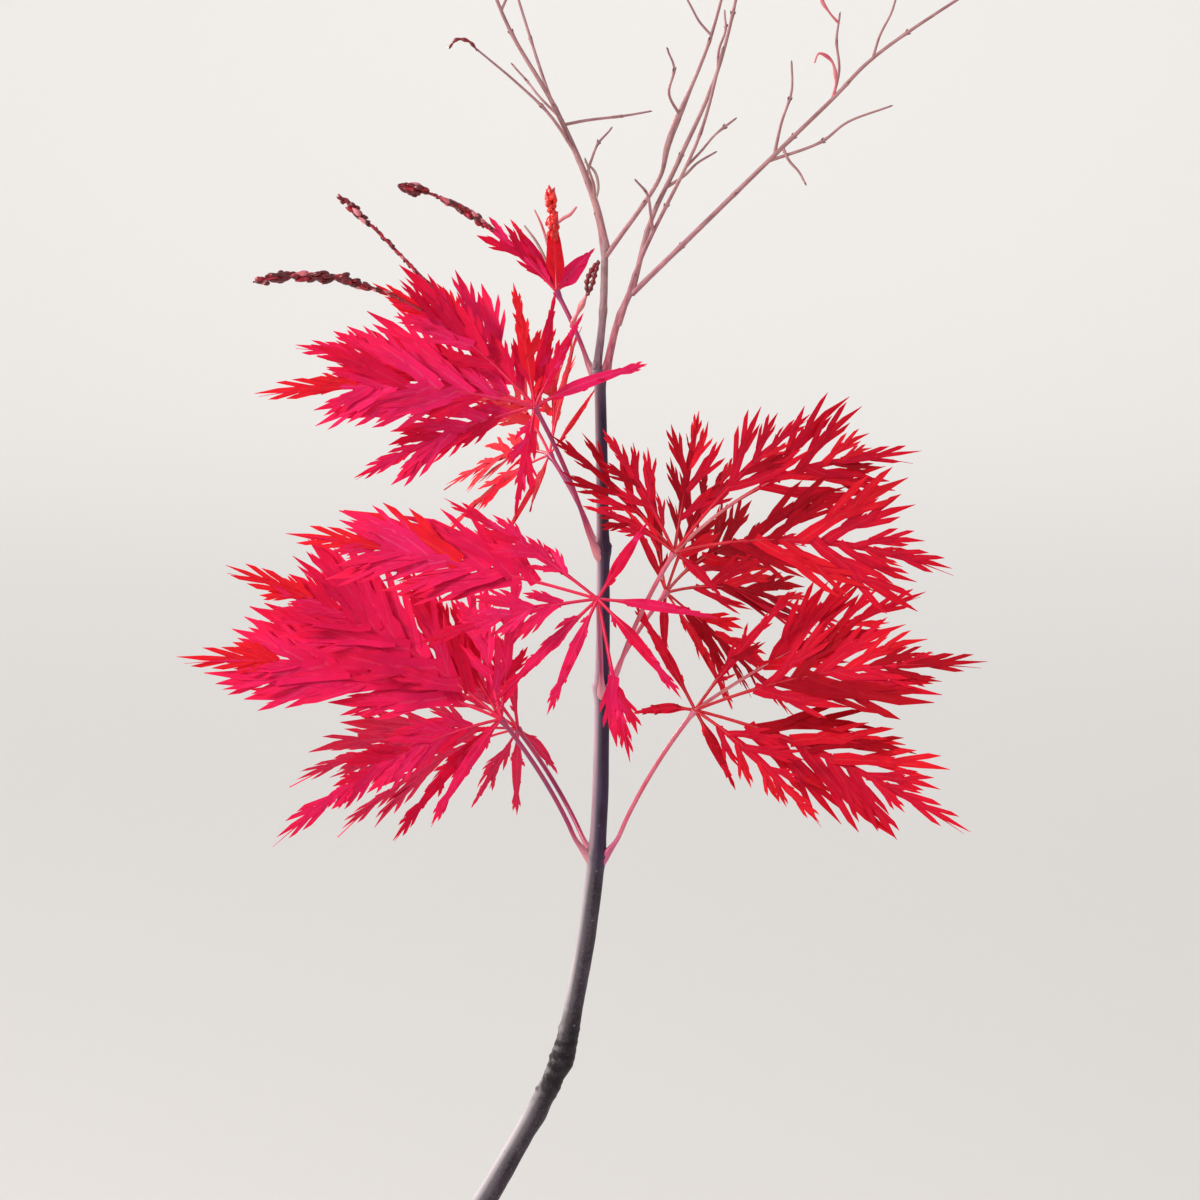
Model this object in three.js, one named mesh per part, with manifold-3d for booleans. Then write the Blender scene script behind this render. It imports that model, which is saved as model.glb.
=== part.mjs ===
// A young laceleaf maple in a plain terracotta pot: pot, soil, stem, boughs, bare twigs and lacy leaves.
// Sizes are in millimetres. X runs to the right of the front view, Y away from the viewer, Z up.
// The origin is the middle of the pot's flat underside.
import * as THREE from "three";
import { mergeVertices } from "three/addons/utils/BufferGeometryUtils.js";
import Module from "manifold-3d";

const wasm = await Module();
wasm.setup();

// Space left between a piece and what carries it
const CLEAR = 0.3;

// Pot and soil
const POT_HEIGHT = 140;
const POT_TOP_RADIUS = 78;
const POT_FOOT_RADIUS = 52;
const POT_WALL = 6;
const POT_FLOOR = 8;
const RIM_BAND = 30;
const RIM_STANDOUT = 4.5;
const EDGE_ROUND = 2;
const POT_SIDES = 40;
const DRAIN_HOLES = 3;
const DRAIN_RADIUS = 6;
const DRAIN_RING = 28;
const DRAIN_SIDES = 12;
const SOIL_BELOW_RIM = 14;
const SOIL_TOP = POT_HEIGHT - SOIL_BELOW_RIM;

// Stem: its foot is in the middle of the pot, and its straight shoot stands to the right on leaning old wood
const NODE_HEIGHTS = [303, 343, 376, 417.5];
const NODE_SWELL = 0.55;
const NODE_REACH = 2.2;
const STEM_SIDES = 10;
const STEM_STEPS = 42;
const FLARE_RADIUS = 4.5;
const FLARE_HEIGHT = 7.5;
const ROOT_RIDGES = 5;
const ROOT_RIDGE_DEPTH = 0.28;
const STEM_LINE = [
  [-1.5, 0, SOIL_TOP + CLEAR],
  [-0.2, 0, 150],
  [9, 1, 187],
  [30.3, 2, 223],
  [45.4, 1, 252.5],
  [49.4, 0, 270],
  [54.2, 0, NODE_HEIGHTS[0]],
  [55.5, 0, NODE_HEIGHTS[1]],
  [55.7, 0, NODE_HEIGHTS[2]],
  [55, 0, NODE_HEIGHTS[3]],
];
// Height up the stem and radius there. The growth scar at the kink is a little thicker.
const STEM_RADII = [
  [SOIL_TOP, 4],
  [190, 3.1],
  [223, 2.7],
  [246, 2.4],
  [255, 2.7],
  [266, 2.15],
  [303, 2.05],
  [345, 1.75],
  [380, 1.45],
  [418, 1.3],
];

// Boughs rise from the stem's fork and end where their twigs begin
const BOUGH_SIDES = 8;
const BOUGH_STEPS = 8;
const BOUGHS = [
  {
    name: "bough_leader", foot: 0.95, tip: 0.8,
    line: [[54.2, 0.2, 417.8], [55.6, 0.1, 430], [56.2, 0, 448]],
  },
  {
    name: "bough_right", foot: 0.9, tip: 0.75,
    line: [[56.4, -0.4, 417.8], [59, -2, 429], [62.4, -3.4, 437.4]],
  },
];

// A mass of bare twigs is one stem with side sprigs. foot and tip are the stem's radius at its ends.
// A sprig is [share of the stem's length where it leaves, then how far its own tip lies along x, y and z].
const TWIGS = [
  {
    name: "twigs_left", foot: 0.72, tip: 0.3, seed: 21, levelFoot: true,
    line: [[56.2, 0, 448.3], [53.9, 0.4, 457], [44.9, 3, 478], [33.6, 5, 497.5], [24.5, 7, 522]],
    sprigs: [[0.12, -2, -3, 9], [0.26, -23, -2, 24], [0.35, 20, 6, 3], [0.72, 4, 7, 13]],
  },
  {
    name: "twigs_centre", foot: 0.6, tip: 0.3, seed: 22,
    line: [[57.6, -0.6, 446.2], [69, -4, 463], [70.8, -5, 470.5], [79.9, -8, 494], [86, -10, 518]],
    sprigs: [[0.45, -3, -12, 15], [0.7, -6, -2, 9]],
  },
  {
    name: "twigs_upright", foot: 0.68, tip: 0.3, seed: 23,
    line: [[62.8, -3.5, 437.8], [66.8, -2.5, 453], [73.3, -0.5, 466.5], [82.2, 2, 487], [90, 5, 521]],
    sprigs: [[0.27, 11.4, 4, 8], [0.6, 2, 11, 14]],
  },
  {
    name: "twigs_right", foot: 0.68, tip: 0.3, seed: 24,
    line: [[64.1, -4.1, 437.6], [74, -6, 447.5], [107.2, -10, 480], [117, -11, 490], [148, -14, 511]],
    sprigs: [
      [0.37, 27.5, -3, 12.5], [0.385, 4, 1.5, 21], [0.41, 5, -4, -8],
      [0.55, 1.6, 1, 19], [0.665, 5.6, 1, 14.6],
    ],
  },
  {
    name: "twigs_back", foot: 0.6, tip: 0.3, seed: 25,
    line: [[56, 1.55, 443.6], [54, 12, 455], [42, 34, 484], [34, 43, 508]],
    sprigs: [[0.3, 6, 14, 12], [0.55, -11, 7, 12]],
  },
  {
    name: "twigs_front", foot: 0.6, tip: 0.3, seed: 26,
    line: [[60, -3.8, 430.6], [64, -14, 444], [77, -33, 473], [82, -40, 492]],
    sprigs: [[0.35, -4, -13, 12], [0.6, 11, -4, 11]],
  },
];
const TWIG_SIDES = 5;
const TWIG_STEPS = 11;
const SPRIG_SIDES = 4;
const SPRIG_STEPS = 5;
const SPRIG_FOOT = 0.42;
const SPRIG_TIP = 0.24;
const SPRIG_SWAY = 0.08;
const SPRIG_BENDS = [0.35, 0.7];
const SPRIG_TO_TWIG = 0.8;

// Leaf blades, and the stalk that carries each
const LEAF_THICKNESS = 0.8;
const RIB_HALF = 0.75;
const RIB_TAPER = 0.45;
const LEAFLETS = 5;
const LEAFLETS_FEWEST = 2;
const LEAFLET_SPACING = 12;
const LEAFLET_FIRST = 0.2;
const LEAFLET_LAST = 0.94;
const LEAFLET_LENGTH = 0.25;
const LEAFLET_ANGLE = degrees(33);
const LEAFLET_BASE = 0.55;
const LEAFLET_FURTHEST = 0.99;
const LOBE_LIFT = [-0.08, 0.2];
const LOBE_SETTLE = 0.6;
const PETIOLE_RADIUS = 0.75;
const PETIOLE_SIDES = 5;
const PETIOLE_STEPS = 6;
const PETIOLE_BEND = { out: 0.28, up: 0.5 };
const HUB_RADIUS = 1.3;

// A withered lobe's tip is rolled up into a beaded cord
const ROLL_START = 0.34;
const ROLL_BLADE = 0.62;
const ROLL_RADIUS = 1.4;
const ROLL_THINNEST = 0.15;
const ROLL_BEADS = 5;
const ROLL_SIDES = 5;
const ROLL_STEPS = 14;
const ROLL_POINTS = 5;
const ROLL_ENDS = [0.12, 0.94];
const BEAD_WAIST = 0.72;

// A fan of lobes by rule grows shorter away from its longest lobe, down to the shortest share
const FAN_NARROWING = 0.5;
const FAN_SHORTEST = 0.34;

// A leaf's junction is where its lobes meet, and facing is the way its upper side looks. A lobe is
// [angle, length], with 0 degrees level to the right and 90 up, as its upper side is looked at. arch is how
// far a lobe bows up, as a share of its length, and a lobe that bows more than its leaf's others has its own
// after its length. withered lists the lobes whose tips are rolled.
const LEAVES = [
  {
    name: "leaf_low_left", node: 0, tint: "crimson",
    junction: [31.9, -8, 337], facing: [0.15, -0.88, 0.42], arch: 0.08,
    lobes: [[80, 40], [102, 43], [119, 45], [151, 74], [168, 77], [209, 65], [227, 40], [235, 33]],
  },
  {
    name: "leaf_low_right", node: 0, tint: "scarlet",
    junction: [77.2, -9, 339.3], facing: [-0.1, -0.9, 0.42], arch: 0.06,
    lobes: [[-62, 22], [-43, 43], [-24, 71], [8, 69], [29, 61], [51, 37], [121, 30], [187, 15]],
  },
  {
    name: "leaf_high_right", node: 1, tint: "scarlet",
    junction: [72.1, -17, 377.5], facing: [0.25, -0.95, 0.28], arch: 0.08,
    lobes: [[-46, 16], [-8, 68], [17, 65, 0.14], [41, 46], [75, 35], [119, 32], [134, 38], [154, 24]],
  },
  {
    name: "leaf_front", node: 1, tint: "crimson",
    junction: [54.5, -34, 369], facing: [0.05, -0.85, 0.5], arch: 0.03,
    lobes: [[58, 23], [146, 41], [166, 74], [197, 43], [226, 35], [247, 32], [279, 48], [305, 31], [350, 28]],
  },
  {
    name: "leaf_high_left", node: 2, tint: "crimson",
    junction: [40, -14, 410.8], facing: [0.1, -0.92, 0.35], arch: 0.05, withered: [4, 5],
    lobes: [
      [20, 29], [61, 25], [78, 28], [98, 29], [130, 68],
      [156, 70, 0.17], [165, 58], [179, 65], [202, 46], [258, 28],
    ],
  },
  {
    name: "leaf_top_left", node: 3, tint: "crimson",
    junction: [44.8, 9, 435.7], facing: [0.2, -0.85, 0.5], arch: 0.05, withered: [3],
    lobes: [[47, 16], [88, 26], [114, 34], [143, 44, 0.13]],
  },
  {
    name: "leaf_back_low", node: 0, tint: "crimson",
    junction: [35, 30, 328], facing: [-0.3, 0.8, 0.5], arch: 0.12,
    lobes: fan(-130, 75, 8, 60, -15),
  },
  {
    name: "leaf_back_middle", node: 1, tint: "scarlet",
    junction: [71, 27, 362], facing: [0.55, -0.6, 0.5], arch: 0.12,
    lobes: fan(-115, 100, 8, 58, -5),
  },
  {
    name: "leaf_back_high", node: 2, tint: "crimson",
    junction: [43, 22, 396], facing: [-0.75, -0.45, 0.5], arch: 0.12,
    lobes: fan(75, 290, 8, 50, 175),
  },
];

const MATERIALS = {
  terracotta: { color: 0xb5694a, roughness: 0.85 },
  soil: { color: 0x3a2c24, roughness: 1 },
  bark: { color: 0x4b4450, roughness: 0.6 },
  twig: { color: 0xa88580, roughness: 0.6 },
  crimson: { color: 0xe0184a, roughness: 0.55 },
  scarlet: { color: 0xd0122a, roughness: 0.55 },
};

function degrees(angle) {
  return (angle * Math.PI) / 180;
}

function vector(xyz) {
  return new THREE.Vector3(...xyz);
}

// A repeatable number from -1 to 1 for a seed and a count
function wobble(seed, count) {
  const big = Math.sin(seed * 12.9898 + count * 78.233) * 43758.5453;
  return 2 * (big - Math.floor(big)) - 1;
}

// Lobes spread evenly from the first angle to the last, the longest at the lean and shorter to both sides
function fan(first, last, count, longest, lean) {
  return Array.from({ length: count }, (_, k) => {
    const angle = first + ((last - first) * k) / (count - 1);
    const share = 1 - FAN_NARROWING * Math.abs((angle - lean) / 90) ** 1.5;
    return [angle, longest * Math.max(share, FAN_SHORTEST)];
  });
}

// Straight-line reading of a table of [place, value] rows
function readAt(rows, place) {
  const after = rows.findIndex((row) => row[0] >= place);
  if (after === 0) return rows[0][1];
  if (after < 0) return rows.at(-1)[1];
  const [low, high] = [rows[after - 1], rows[after]];
  return low[1] + ((high[1] - low[1]) * (place - low[0])) / (high[0] - low[0]);
}

function smoothCurve(line) {
  return new THREE.CatmullRomCurve3(line.map(vector), false, "centripetal");
}

function solidFrom(geometry) {
  const bare = geometry.clone();
  bare.deleteAttribute("normal");
  bare.deleteAttribute("uv");
  const merged = mergeVertices(bare, 1e-4);
  return new wasm.Manifold(
    new wasm.Mesh({
      numProp: 3,
      vertProperties: new Float32Array(merged.attributes.position.array),
      triVerts: new Uint32Array(merged.index.array),
    }),
  );
}

function indexedGeometry(positions, index) {
  const geometry = new THREE.BufferGeometry();
  geometry.setAttribute("position", new THREE.BufferAttribute(new Float32Array(positions), 3));
  geometry.setIndex(new THREE.BufferAttribute(new Uint32Array(index), 1));
  return geometry;
}

// Joins solids into one body. A loose scrap is dropped, and a hollow sealed inside is filled.
function fuse(solids) {
  const bodies = wasm.Manifold.union(solids).decompose();
  return bodies.reduce((largest, body) => (body.volume() > largest.volume() ? body : largest));
}

function meshOf(name, solid, material) {
  const { vertProperties, triVerts } = solid.getMesh();
  const geometry = indexedGeometry(vertProperties, triVerts);
  geometry.computeVertexNormals();
  const finish = new THREE.MeshStandardMaterial({ metalness: 0, ...MATERIALS[material] });
  const mesh = new THREE.Mesh(geometry, finish);
  mesh.name = name;
  return mesh;
}

function taper(foot, tip) {
  return (share) => foot + (tip - foot) * share;
}

// Shares of a limb's length, in even steps
function evenShares(steps) {
  return Array.from({ length: steps + 1 }, (_, i) => i / steps);
}

// A round limb along a smooth curve, with a ring of corners at each of the shares of its length.
// radiusAt(share, angle, centre) gives its radius. Its foot is cut level or square to the curve.
function limb(line, radiusAt, sides, shares, levelFoot = false) {
  const curve = smoothCurve(line);
  const positions = [];
  const index = [];
  const firstWay = curve.getTangentAt(0);
  let across = Math.abs(firstWay.x) > 0.9 ? new THREE.Vector3(0, 1, 0) : new THREE.Vector3(1, 0, 0);
  for (const share of shares) {
    const centre = curve.getPointAt(share);
    const along = levelFoot && share === 0 ? new THREE.Vector3(0, 0, 1) : curve.getTangentAt(share);
    across = across.clone().addScaledVector(along, -across.dot(along)).normalize();
    const up = along.clone().cross(across);
    for (let k = 0; k < sides; k++) {
      const angle = (2 * Math.PI * k) / sides;
      const radius = radiusAt(share, angle, centre);
      const corner = centre.clone().addScaledVector(across, radius * Math.cos(angle));
      corner.addScaledVector(up, radius * Math.sin(angle));
      positions.push(...corner.toArray());
    }
  }
  for (let i = 0; i < shares.length - 1; i++) {
    for (let k = 0; k < sides; k++) {
      const [a, b] = [i * sides + k, i * sides + ((k + 1) % sides)];
      index.push(a, b, b + sides, a, b + sides, a + sides);
    }
  }
  const last = (shares.length - 1) * sides;
  for (let k = 1; k < sides - 1; k++) {
    index.push(0, k + 1, k, last, last + k, last + k + 1);
  }
  return solidFrom(indexedGeometry(positions, index));
}

// Radius of the pot's outside at a height below its rim band
function potRadius(height) {
  const rimFoot = POT_HEIGHT - RIM_BAND;
  return POT_FOOT_RADIUS + ((POT_TOP_RADIUS - RIM_STANDOUT - POT_FOOT_RADIUS) / rimFoot) * height;
}

function turned(profile) {
  const points = profile.map(([radius, height]) => new THREE.Vector2(radius, height));
  const geometry = new THREE.LatheGeometry(points, POT_SIDES);
  geometry.rotateX(Math.PI / 2);
  return solidFrom(geometry);
}

function makePot() {
  const rimFoot = POT_HEIGHT - RIM_BAND;
  let pot = turned([
    [0, 0],
    [POT_FOOT_RADIUS - EDGE_ROUND, 0],
    [potRadius(EDGE_ROUND), EDGE_ROUND],
    [potRadius(rimFoot), rimFoot],
    [POT_TOP_RADIUS - EDGE_ROUND, rimFoot + EDGE_ROUND / 2],
    [POT_TOP_RADIUS - EDGE_ROUND / 4, rimFoot + 1.5 * EDGE_ROUND],
    [POT_TOP_RADIUS, POT_HEIGHT - EDGE_ROUND],
    [POT_TOP_RADIUS - EDGE_ROUND, POT_HEIGHT],
    [POT_TOP_RADIUS - POT_WALL, POT_HEIGHT],
    [POT_TOP_RADIUS - POT_WALL - EDGE_ROUND, POT_HEIGHT - EDGE_ROUND],
    [potRadius(rimFoot) - POT_WALL, rimFoot],
    [potRadius(POT_FLOOR) - POT_WALL, POT_FLOOR],
    [0, POT_FLOOR],
  ]);
  for (let k = 0; k < DRAIN_HOLES; k++) {
    const angle = (2 * Math.PI * k) / DRAIN_HOLES + Math.PI / 2;
    const drill = new THREE.CylinderGeometry(DRAIN_RADIUS, DRAIN_RADIUS, 3 * POT_FLOOR, DRAIN_SIDES);
    drill.rotateX(Math.PI / 2);
    drill.translate(DRAIN_RING * Math.cos(angle), DRAIN_RING * Math.sin(angle), POT_FLOOR / 2);
    pot = pot.subtract(solidFrom(drill));
  }
  return meshOf("pot", pot, "terracotta");
}

// The soil fills the pot from its floor to a level top, a little clear of the wall
function makeSoil() {
  const rimFoot = POT_HEIGHT - RIM_BAND;
  const inner = (height) => potRadius(height) - POT_WALL - 2 * CLEAR;
  const soil = turned([
    [0, POT_FLOOR + CLEAR],
    [inner(POT_FLOOR), POT_FLOOR + CLEAR],
    [inner(rimFoot), rimFoot],
    [inner(rimFoot) - CLEAR, SOIL_TOP],
    [0, SOIL_TOP],
  ]);
  return meshOf("soil", soil, "soil");
}

// Radius of the stem at a height, with its swollen nodes and its root flare
function stemRadius(height, angle = 0) {
  let radius = readAt(STEM_RADII, height);
  for (const node of NODE_HEIGHTS) {
    radius += NODE_SWELL * Math.exp(-(((height - node) / NODE_REACH) ** 2));
  }
  const flare = Math.exp(-(height - SOIL_TOP) / FLARE_HEIGHT);
  const ridges = 1 + ROOT_RIDGE_DEPTH * Math.cos(ROOT_RIDGES * angle);
  return radius + FLARE_RADIUS * flare * ridges;
}

const stemCurve = smoothCurve(STEM_LINE);

// The share of the stem's length where it reaches a height, found by halving
function stemShare(height) {
  let [low, high] = [0, 1];
  while (high - low > 1e-6) {
    const middle = (low + high) / 2;
    if (stemCurve.getPointAt(middle).z < height) low = middle;
    else high = middle;
  }
  return low;
}

// The stem has even rings, but each node has one at its middle and one at each edge of its swelling.
// The last node is the stem's top.
function makeStem() {
  const nodeRings = NODE_HEIGHTS.flatMap((node) => [node - NODE_REACH, node, node + NODE_REACH]);
  const nodeShares = nodeRings.filter((height) => height < NODE_HEIGHTS.at(-1)).map(stemShare);
  const clearOfNodes = (share) => nodeShares.every((other) => Math.abs(share - other) > 0.5 / STEM_STEPS);
  const between = evenShares(STEM_STEPS).filter((share) => share === 1 || clearOfNodes(share));
  const shares = [...between, ...nodeShares].sort((a, b) => a - b);
  const radiusAt = (share, angle, centre) => stemRadius(centre.z, angle);
  return meshOf("stem", limb(STEM_LINE, radiusAt, STEM_SIDES, shares, true), "bark");
}

function makeBough(bough) {
  const solid = limb(bough.line, taper(bough.foot, bough.tip), BOUGH_SIDES, evenShares(BOUGH_STEPS), true);
  return meshOf(bough.name, solid, "twig");
}

// A sprig's line from its root in the twig's middle: its bends by the seeded rule, then its tip
function sprigLine(root, reach, seed) {
  const sway = SPRIG_SWAY * reach.length();
  const bends = SPRIG_BENDS.map((share, count) => {
    const point = root.clone().addScaledVector(reach, share);
    point.x += sway * wobble(seed, 2 * count + 1);
    point.y += sway * wobble(seed, 2 * count + 2);
    return point;
  });
  return [root, ...bends, root.clone().add(reach)].map((point) => point.toArray());
}

function makeTwigs(twig) {
  const curve = smoothCurve(twig.line);
  const thickness = taper(twig.foot, twig.tip);
  const solids = [limb(twig.line, thickness, TWIG_SIDES, evenShares(TWIG_STEPS), twig.levelFoot)];
  twig.sprigs.forEach(([share, ...reach], k) => {
    const line = sprigLine(curve.getPointAt(share), vector(reach), twig.seed + 7 * k);
    const foot = Math.min(SPRIG_FOOT, SPRIG_TO_TWIG * thickness(share));
    solids.push(limb(line, taper(foot, SPRIG_TIP), SPRIG_SIDES, evenShares(SPRIG_STEPS)));
  });
  return meshOf(twig.name, fuse(solids), "twig");
}

// The way in a leaf's plane that has this angle, as the leaf's upper side is looked at
function inPlane(face, angle) {
  const level = new THREE.Vector3(-face.y, face.x, 0).normalize();
  const rise = face.clone().cross(level);
  return level.multiplyScalar(Math.cos(degrees(angle))).addScaledVector(rise, Math.sin(degrees(angle)));
}

// A lobe's middle line, bowed up in the leaf's plane, and lifted out of that plane more on every other lobe
function lobeLine(leaf, k) {
  const [angle, length, arch = leaf.arch] = leaf.lobes[k];
  const face = vector(leaf.facing).normalize();
  const rise = inPlane(face, 90);
  const out = inPlane(face, angle).setLength(length);
  const bow = 4 * arch * Math.abs(Math.cos(degrees(angle))) * length;
  const lift = LOBE_LIFT[k % 2] * length;
  const start = vector(leaf.junction);
  const at = (t) => {
    const point = start.clone().addScaledVector(out, t);
    point.addScaledVector(rise, bow * t * (1 - t)).addScaledVector(face, lift * t * (1 - LOBE_SETTLE * t));
    const ahead = out.clone().addScaledVector(rise, bow * (1 - 2 * t));
    ahead.addScaledVector(face, lift * (1 - 2 * LOBE_SETTLE * t)).normalize();
    const across = face.clone().cross(ahead).normalize();
    return { point, across, up: ahead.clone().cross(across) };
  };
  return { length, at };
}

// A flat blade: a narrow rib with slim leaflets that point forward on both sides, cut to the rib between them
function blade({ length, at }) {
  const count = Math.max(LEAFLETS_FEWEST, Math.min(LEAFLETS, Math.round(length / LEAFLET_SPACING)));
  const step = (LEAFLET_LAST - LEAFLET_FIRST) / count;
  const ribHalf = (t) => RIB_HALF * (1 - RIB_TAPER * t);
  const positions = [];
  const index = [];
  // Adds a corner to both faces of the blade and returns its number
  const corner = (t, offset) => {
    const { point, across, up } = at(t);
    point.addScaledVector(across, offset);
    for (const side of [1, -1]) {
      positions.push(...point.clone().addScaledVector(up, (side * LEAF_THICKNESS) / 2).toArray());
    }
    return positions.length / 6 - 1;
  };
  const face = (a, b, c) => index.push(2 * a, 2 * b, 2 * c, 2 * a + 1, 2 * c + 1, 2 * b + 1);
  const outlineOf = { right: [corner(0, -ribHalf(0))], left: [corner(0, ribHalf(0))] };
  const ribOf = { right: [...outlineOf.right], left: [...outlineOf.left] };
  for (let j = 0; j < count; j++) {
    const root = LEAFLET_FIRST + step * j;
    const end = root + step * LEAFLET_BASE;
    const reach = LEAFLET_LENGTH * Math.sin(Math.PI * ((root + end) / 2) ** 0.8);
    const tip = Math.min(end + reach * Math.cos(LEAFLET_ANGLE), LEAFLET_FURTHEST);
    const spread = reach * length * Math.sin(LEAFLET_ANGLE);
    for (const [side, sign] of [["right", -1], ["left", 1]]) {
      const [a, b] = [corner(root, sign * ribHalf(root)), corner(tip, sign * spread)];
      const c = corner(end, sign * ribHalf(end));
      outlineOf[side].push(a, b, c);
      ribOf[side].push(a, c);
      if (sign < 0) face(a, b, c);
      else face(a, c, b);
    }
  }
  const { right, left } = ribOf;
  for (let i = 0; i < right.length - 1; i++) {
    face(right[i], right[i + 1], left[i + 1]);
    face(right[i], left[i + 1], left[i]);
  }
  const end = corner(1, 0);
  face(right.at(-1), end, left.at(-1));
  const outline = [...outlineOf.right, end, ...outlineOf.left.reverse()];
  outline.forEach((a, i) => {
    const b = outline[(i + 1) % outline.length];
    index.push(2 * a, 2 * a + 1, 2 * b + 1, 2 * a, 2 * b + 1, 2 * b);
  });
  return solidFrom(indexedGeometry(positions, index));
}

// A short blade, and a beaded cord that runs on from inside it to the lobe's full length
function witheredLobe(line) {
  const shortBlade = blade({ length: line.length * ROLL_BLADE, at: (t) => line.at(t * ROLL_BLADE) });
  const points = Array.from({ length: ROLL_POINTS }, (_, i) => {
    const share = i / (ROLL_POINTS - 1);
    return line.at(ROLL_START + (1 - ROLL_START) * share).point.toArray();
  });
  const radiusAt = (share) => {
    const swell = Math.sqrt(Math.sin(Math.PI * (ROLL_ENDS[0] + (ROLL_ENDS[1] - ROLL_ENDS[0]) * share)));
    const bead = BEAD_WAIST + (1 - BEAD_WAIST) * Math.cos(2 * Math.PI * ROLL_BEADS * share) ** 2;
    return ROLL_RADIUS * swell * bead + ROLL_THINNEST;
  };
  return [shortBlade, limb(points, radiusAt, ROLL_SIDES, evenShares(ROLL_STEPS))];
}

// The leaf's stalk starts beside its node, rises along the stem and bends out to the junction
function petiole(leaf) {
  const height = NODE_HEIGHTS[leaf.node];
  const stem = stemCurve.getPointAt(stemShare(height));
  const end = vector(leaf.junction);
  const away = new THREE.Vector3(end.x - stem.x, end.y - stem.y, 0);
  const out = PETIOLE_BEND.out * away.length();
  const up = PETIOLE_BEND.up * (end.z - height);
  away.normalize();
  // The flat foot is square to the stalk, so its upper edge leans back to the stem
  const leanBack = (PETIOLE_RADIUS * up) / Math.hypot(out, up);
  const start = stem.addScaledVector(away, stemRadius(height) + leanBack + CLEAR);
  const bend = start.clone().addScaledVector(away, out);
  bend.z += up;
  const line = new THREE.QuadraticBezierCurve3(start, bend, end).getPoints(PETIOLE_STEPS);
  const points = line.map((point) => point.toArray());
  return limb(points, taper(PETIOLE_RADIUS, PETIOLE_RADIUS), PETIOLE_SIDES, evenShares(PETIOLE_STEPS));
}

function makeLeaf(leaf) {
  const hub = new THREE.IcosahedronGeometry(HUB_RADIUS, 0);
  hub.translate(...leaf.junction);
  const solids = [petiole(leaf), solidFrom(hub)];
  leaf.lobes.forEach((lobe, k) => {
    const line = lobeLine(leaf, k);
    if (leaf.withered?.includes(k)) solids.push(...witheredLobe(line));
    else solids.push(blade(line));
  });
  return meshOf(leaf.name, fuse(solids), leaf.tint);
}

const tree = new THREE.Group();
tree.add(makeStem(), ...BOUGHS.map(makeBough), ...TWIGS.map(makeTwigs), ...LEAVES.map(makeLeaf));

const part = new THREE.Group();
part.add(makePot(), makeSoil(), tree);
export default part;
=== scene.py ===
"""A young laceleaf maple in a plain terracotta pot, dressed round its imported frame.

Sizes are in millimetres unless a line says otherwise. X runs to the right of the front view, Y away from the
viewer and Z up, from the middle of the pot's underside. Every shape is worked out as whole tables of points.
"""
import math
from collections import namedtuple

import bpy
import numpy as np
from bpy.props import FloatProperty, FloatVectorProperty, IntProperty, PointerProperty
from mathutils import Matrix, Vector


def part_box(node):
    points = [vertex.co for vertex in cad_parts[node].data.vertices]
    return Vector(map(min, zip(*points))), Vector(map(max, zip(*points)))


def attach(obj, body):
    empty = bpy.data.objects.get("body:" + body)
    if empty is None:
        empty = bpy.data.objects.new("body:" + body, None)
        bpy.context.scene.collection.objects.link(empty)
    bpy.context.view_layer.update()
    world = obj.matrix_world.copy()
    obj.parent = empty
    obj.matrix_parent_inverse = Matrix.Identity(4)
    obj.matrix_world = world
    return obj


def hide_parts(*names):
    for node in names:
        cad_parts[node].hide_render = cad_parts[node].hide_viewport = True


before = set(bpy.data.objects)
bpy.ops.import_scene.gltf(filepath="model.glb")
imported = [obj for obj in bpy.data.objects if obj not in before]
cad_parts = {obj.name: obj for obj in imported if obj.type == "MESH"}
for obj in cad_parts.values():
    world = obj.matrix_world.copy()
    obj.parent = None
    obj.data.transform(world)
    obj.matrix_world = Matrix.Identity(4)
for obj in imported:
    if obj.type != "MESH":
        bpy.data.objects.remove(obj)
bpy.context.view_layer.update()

bl_info = {
    "name": "Potted laceleaf maple",
    "version": (1, 0, 0),
    "blender": (4, 5, 0),
    "location": "View3D > Sidebar > Laceleaf maple",
    "description": "Makes a potted young laceleaf maple, and the stage that it stands on",
    "category": "Object",
}

MM = 0.001
TAU = 2 * math.pi
# Steps between two points of a smooth curve, rings along a short limb, and the angle of a sharp edge in
# degrees
CURVE_STEPS = 48
LIMB_RINGS = 60
SHARP_ANGLE = 40

# Pot and soil
POT_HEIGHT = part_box("pot")[1].z / MM
POT_TOP_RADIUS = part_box("pot")[1].x / MM
POT_FOOT_RADIUS = 52
POT_WALL = 6
POT_FLOOR = 8
RIM_BAND = 30
RIM_FOOT = POT_HEIGHT - RIM_BAND
RIM_STANDOUT = 4.5
RIM_DRAFT = 0.6
POT_EDGE = 2.4
POT_GRAIN = 1.3
POT_COLUMNS = 144
# The pot's throwing lines: how far one is from the next and half their depth, and half the depth of its
# dents
THROW_PITCH = 3.1
THROW_DEPTH = 0.06
DENT_DEPTH = 0.14
DRAIN_HOLES = 3
DRAIN_RADIUS = 6
DRAIN_RING = 28
DRAIN_SIDES = 32
# Where lime dries on the clay: from the first height, where there is none, to the second, where it is full
LIME_LOW = (55, 12)
LIME_BAND = (96, 112)
SOIL_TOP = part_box("soil")[1].z / MM
SOIL_CLEAR = 0.6
SOIL_COLUMNS = 96
SOIL_RINGS = 60
# The potting mix's lumps: their size, how far they rise or sink, and their seed
SOIL_LUMPS = [(9, 1.0, 5), (2.6, 0.45, 6)]
SOIL_SETTLE = 0.6
MOUND_REACH = 9
MOUND_HEIGHT = 1.3
# How far out the mix dips towards the wall, and how deep
DIP_RANGE = (52, 67)
DIP_DEPTH = 0.8
LITTER_REACH = 65

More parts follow.
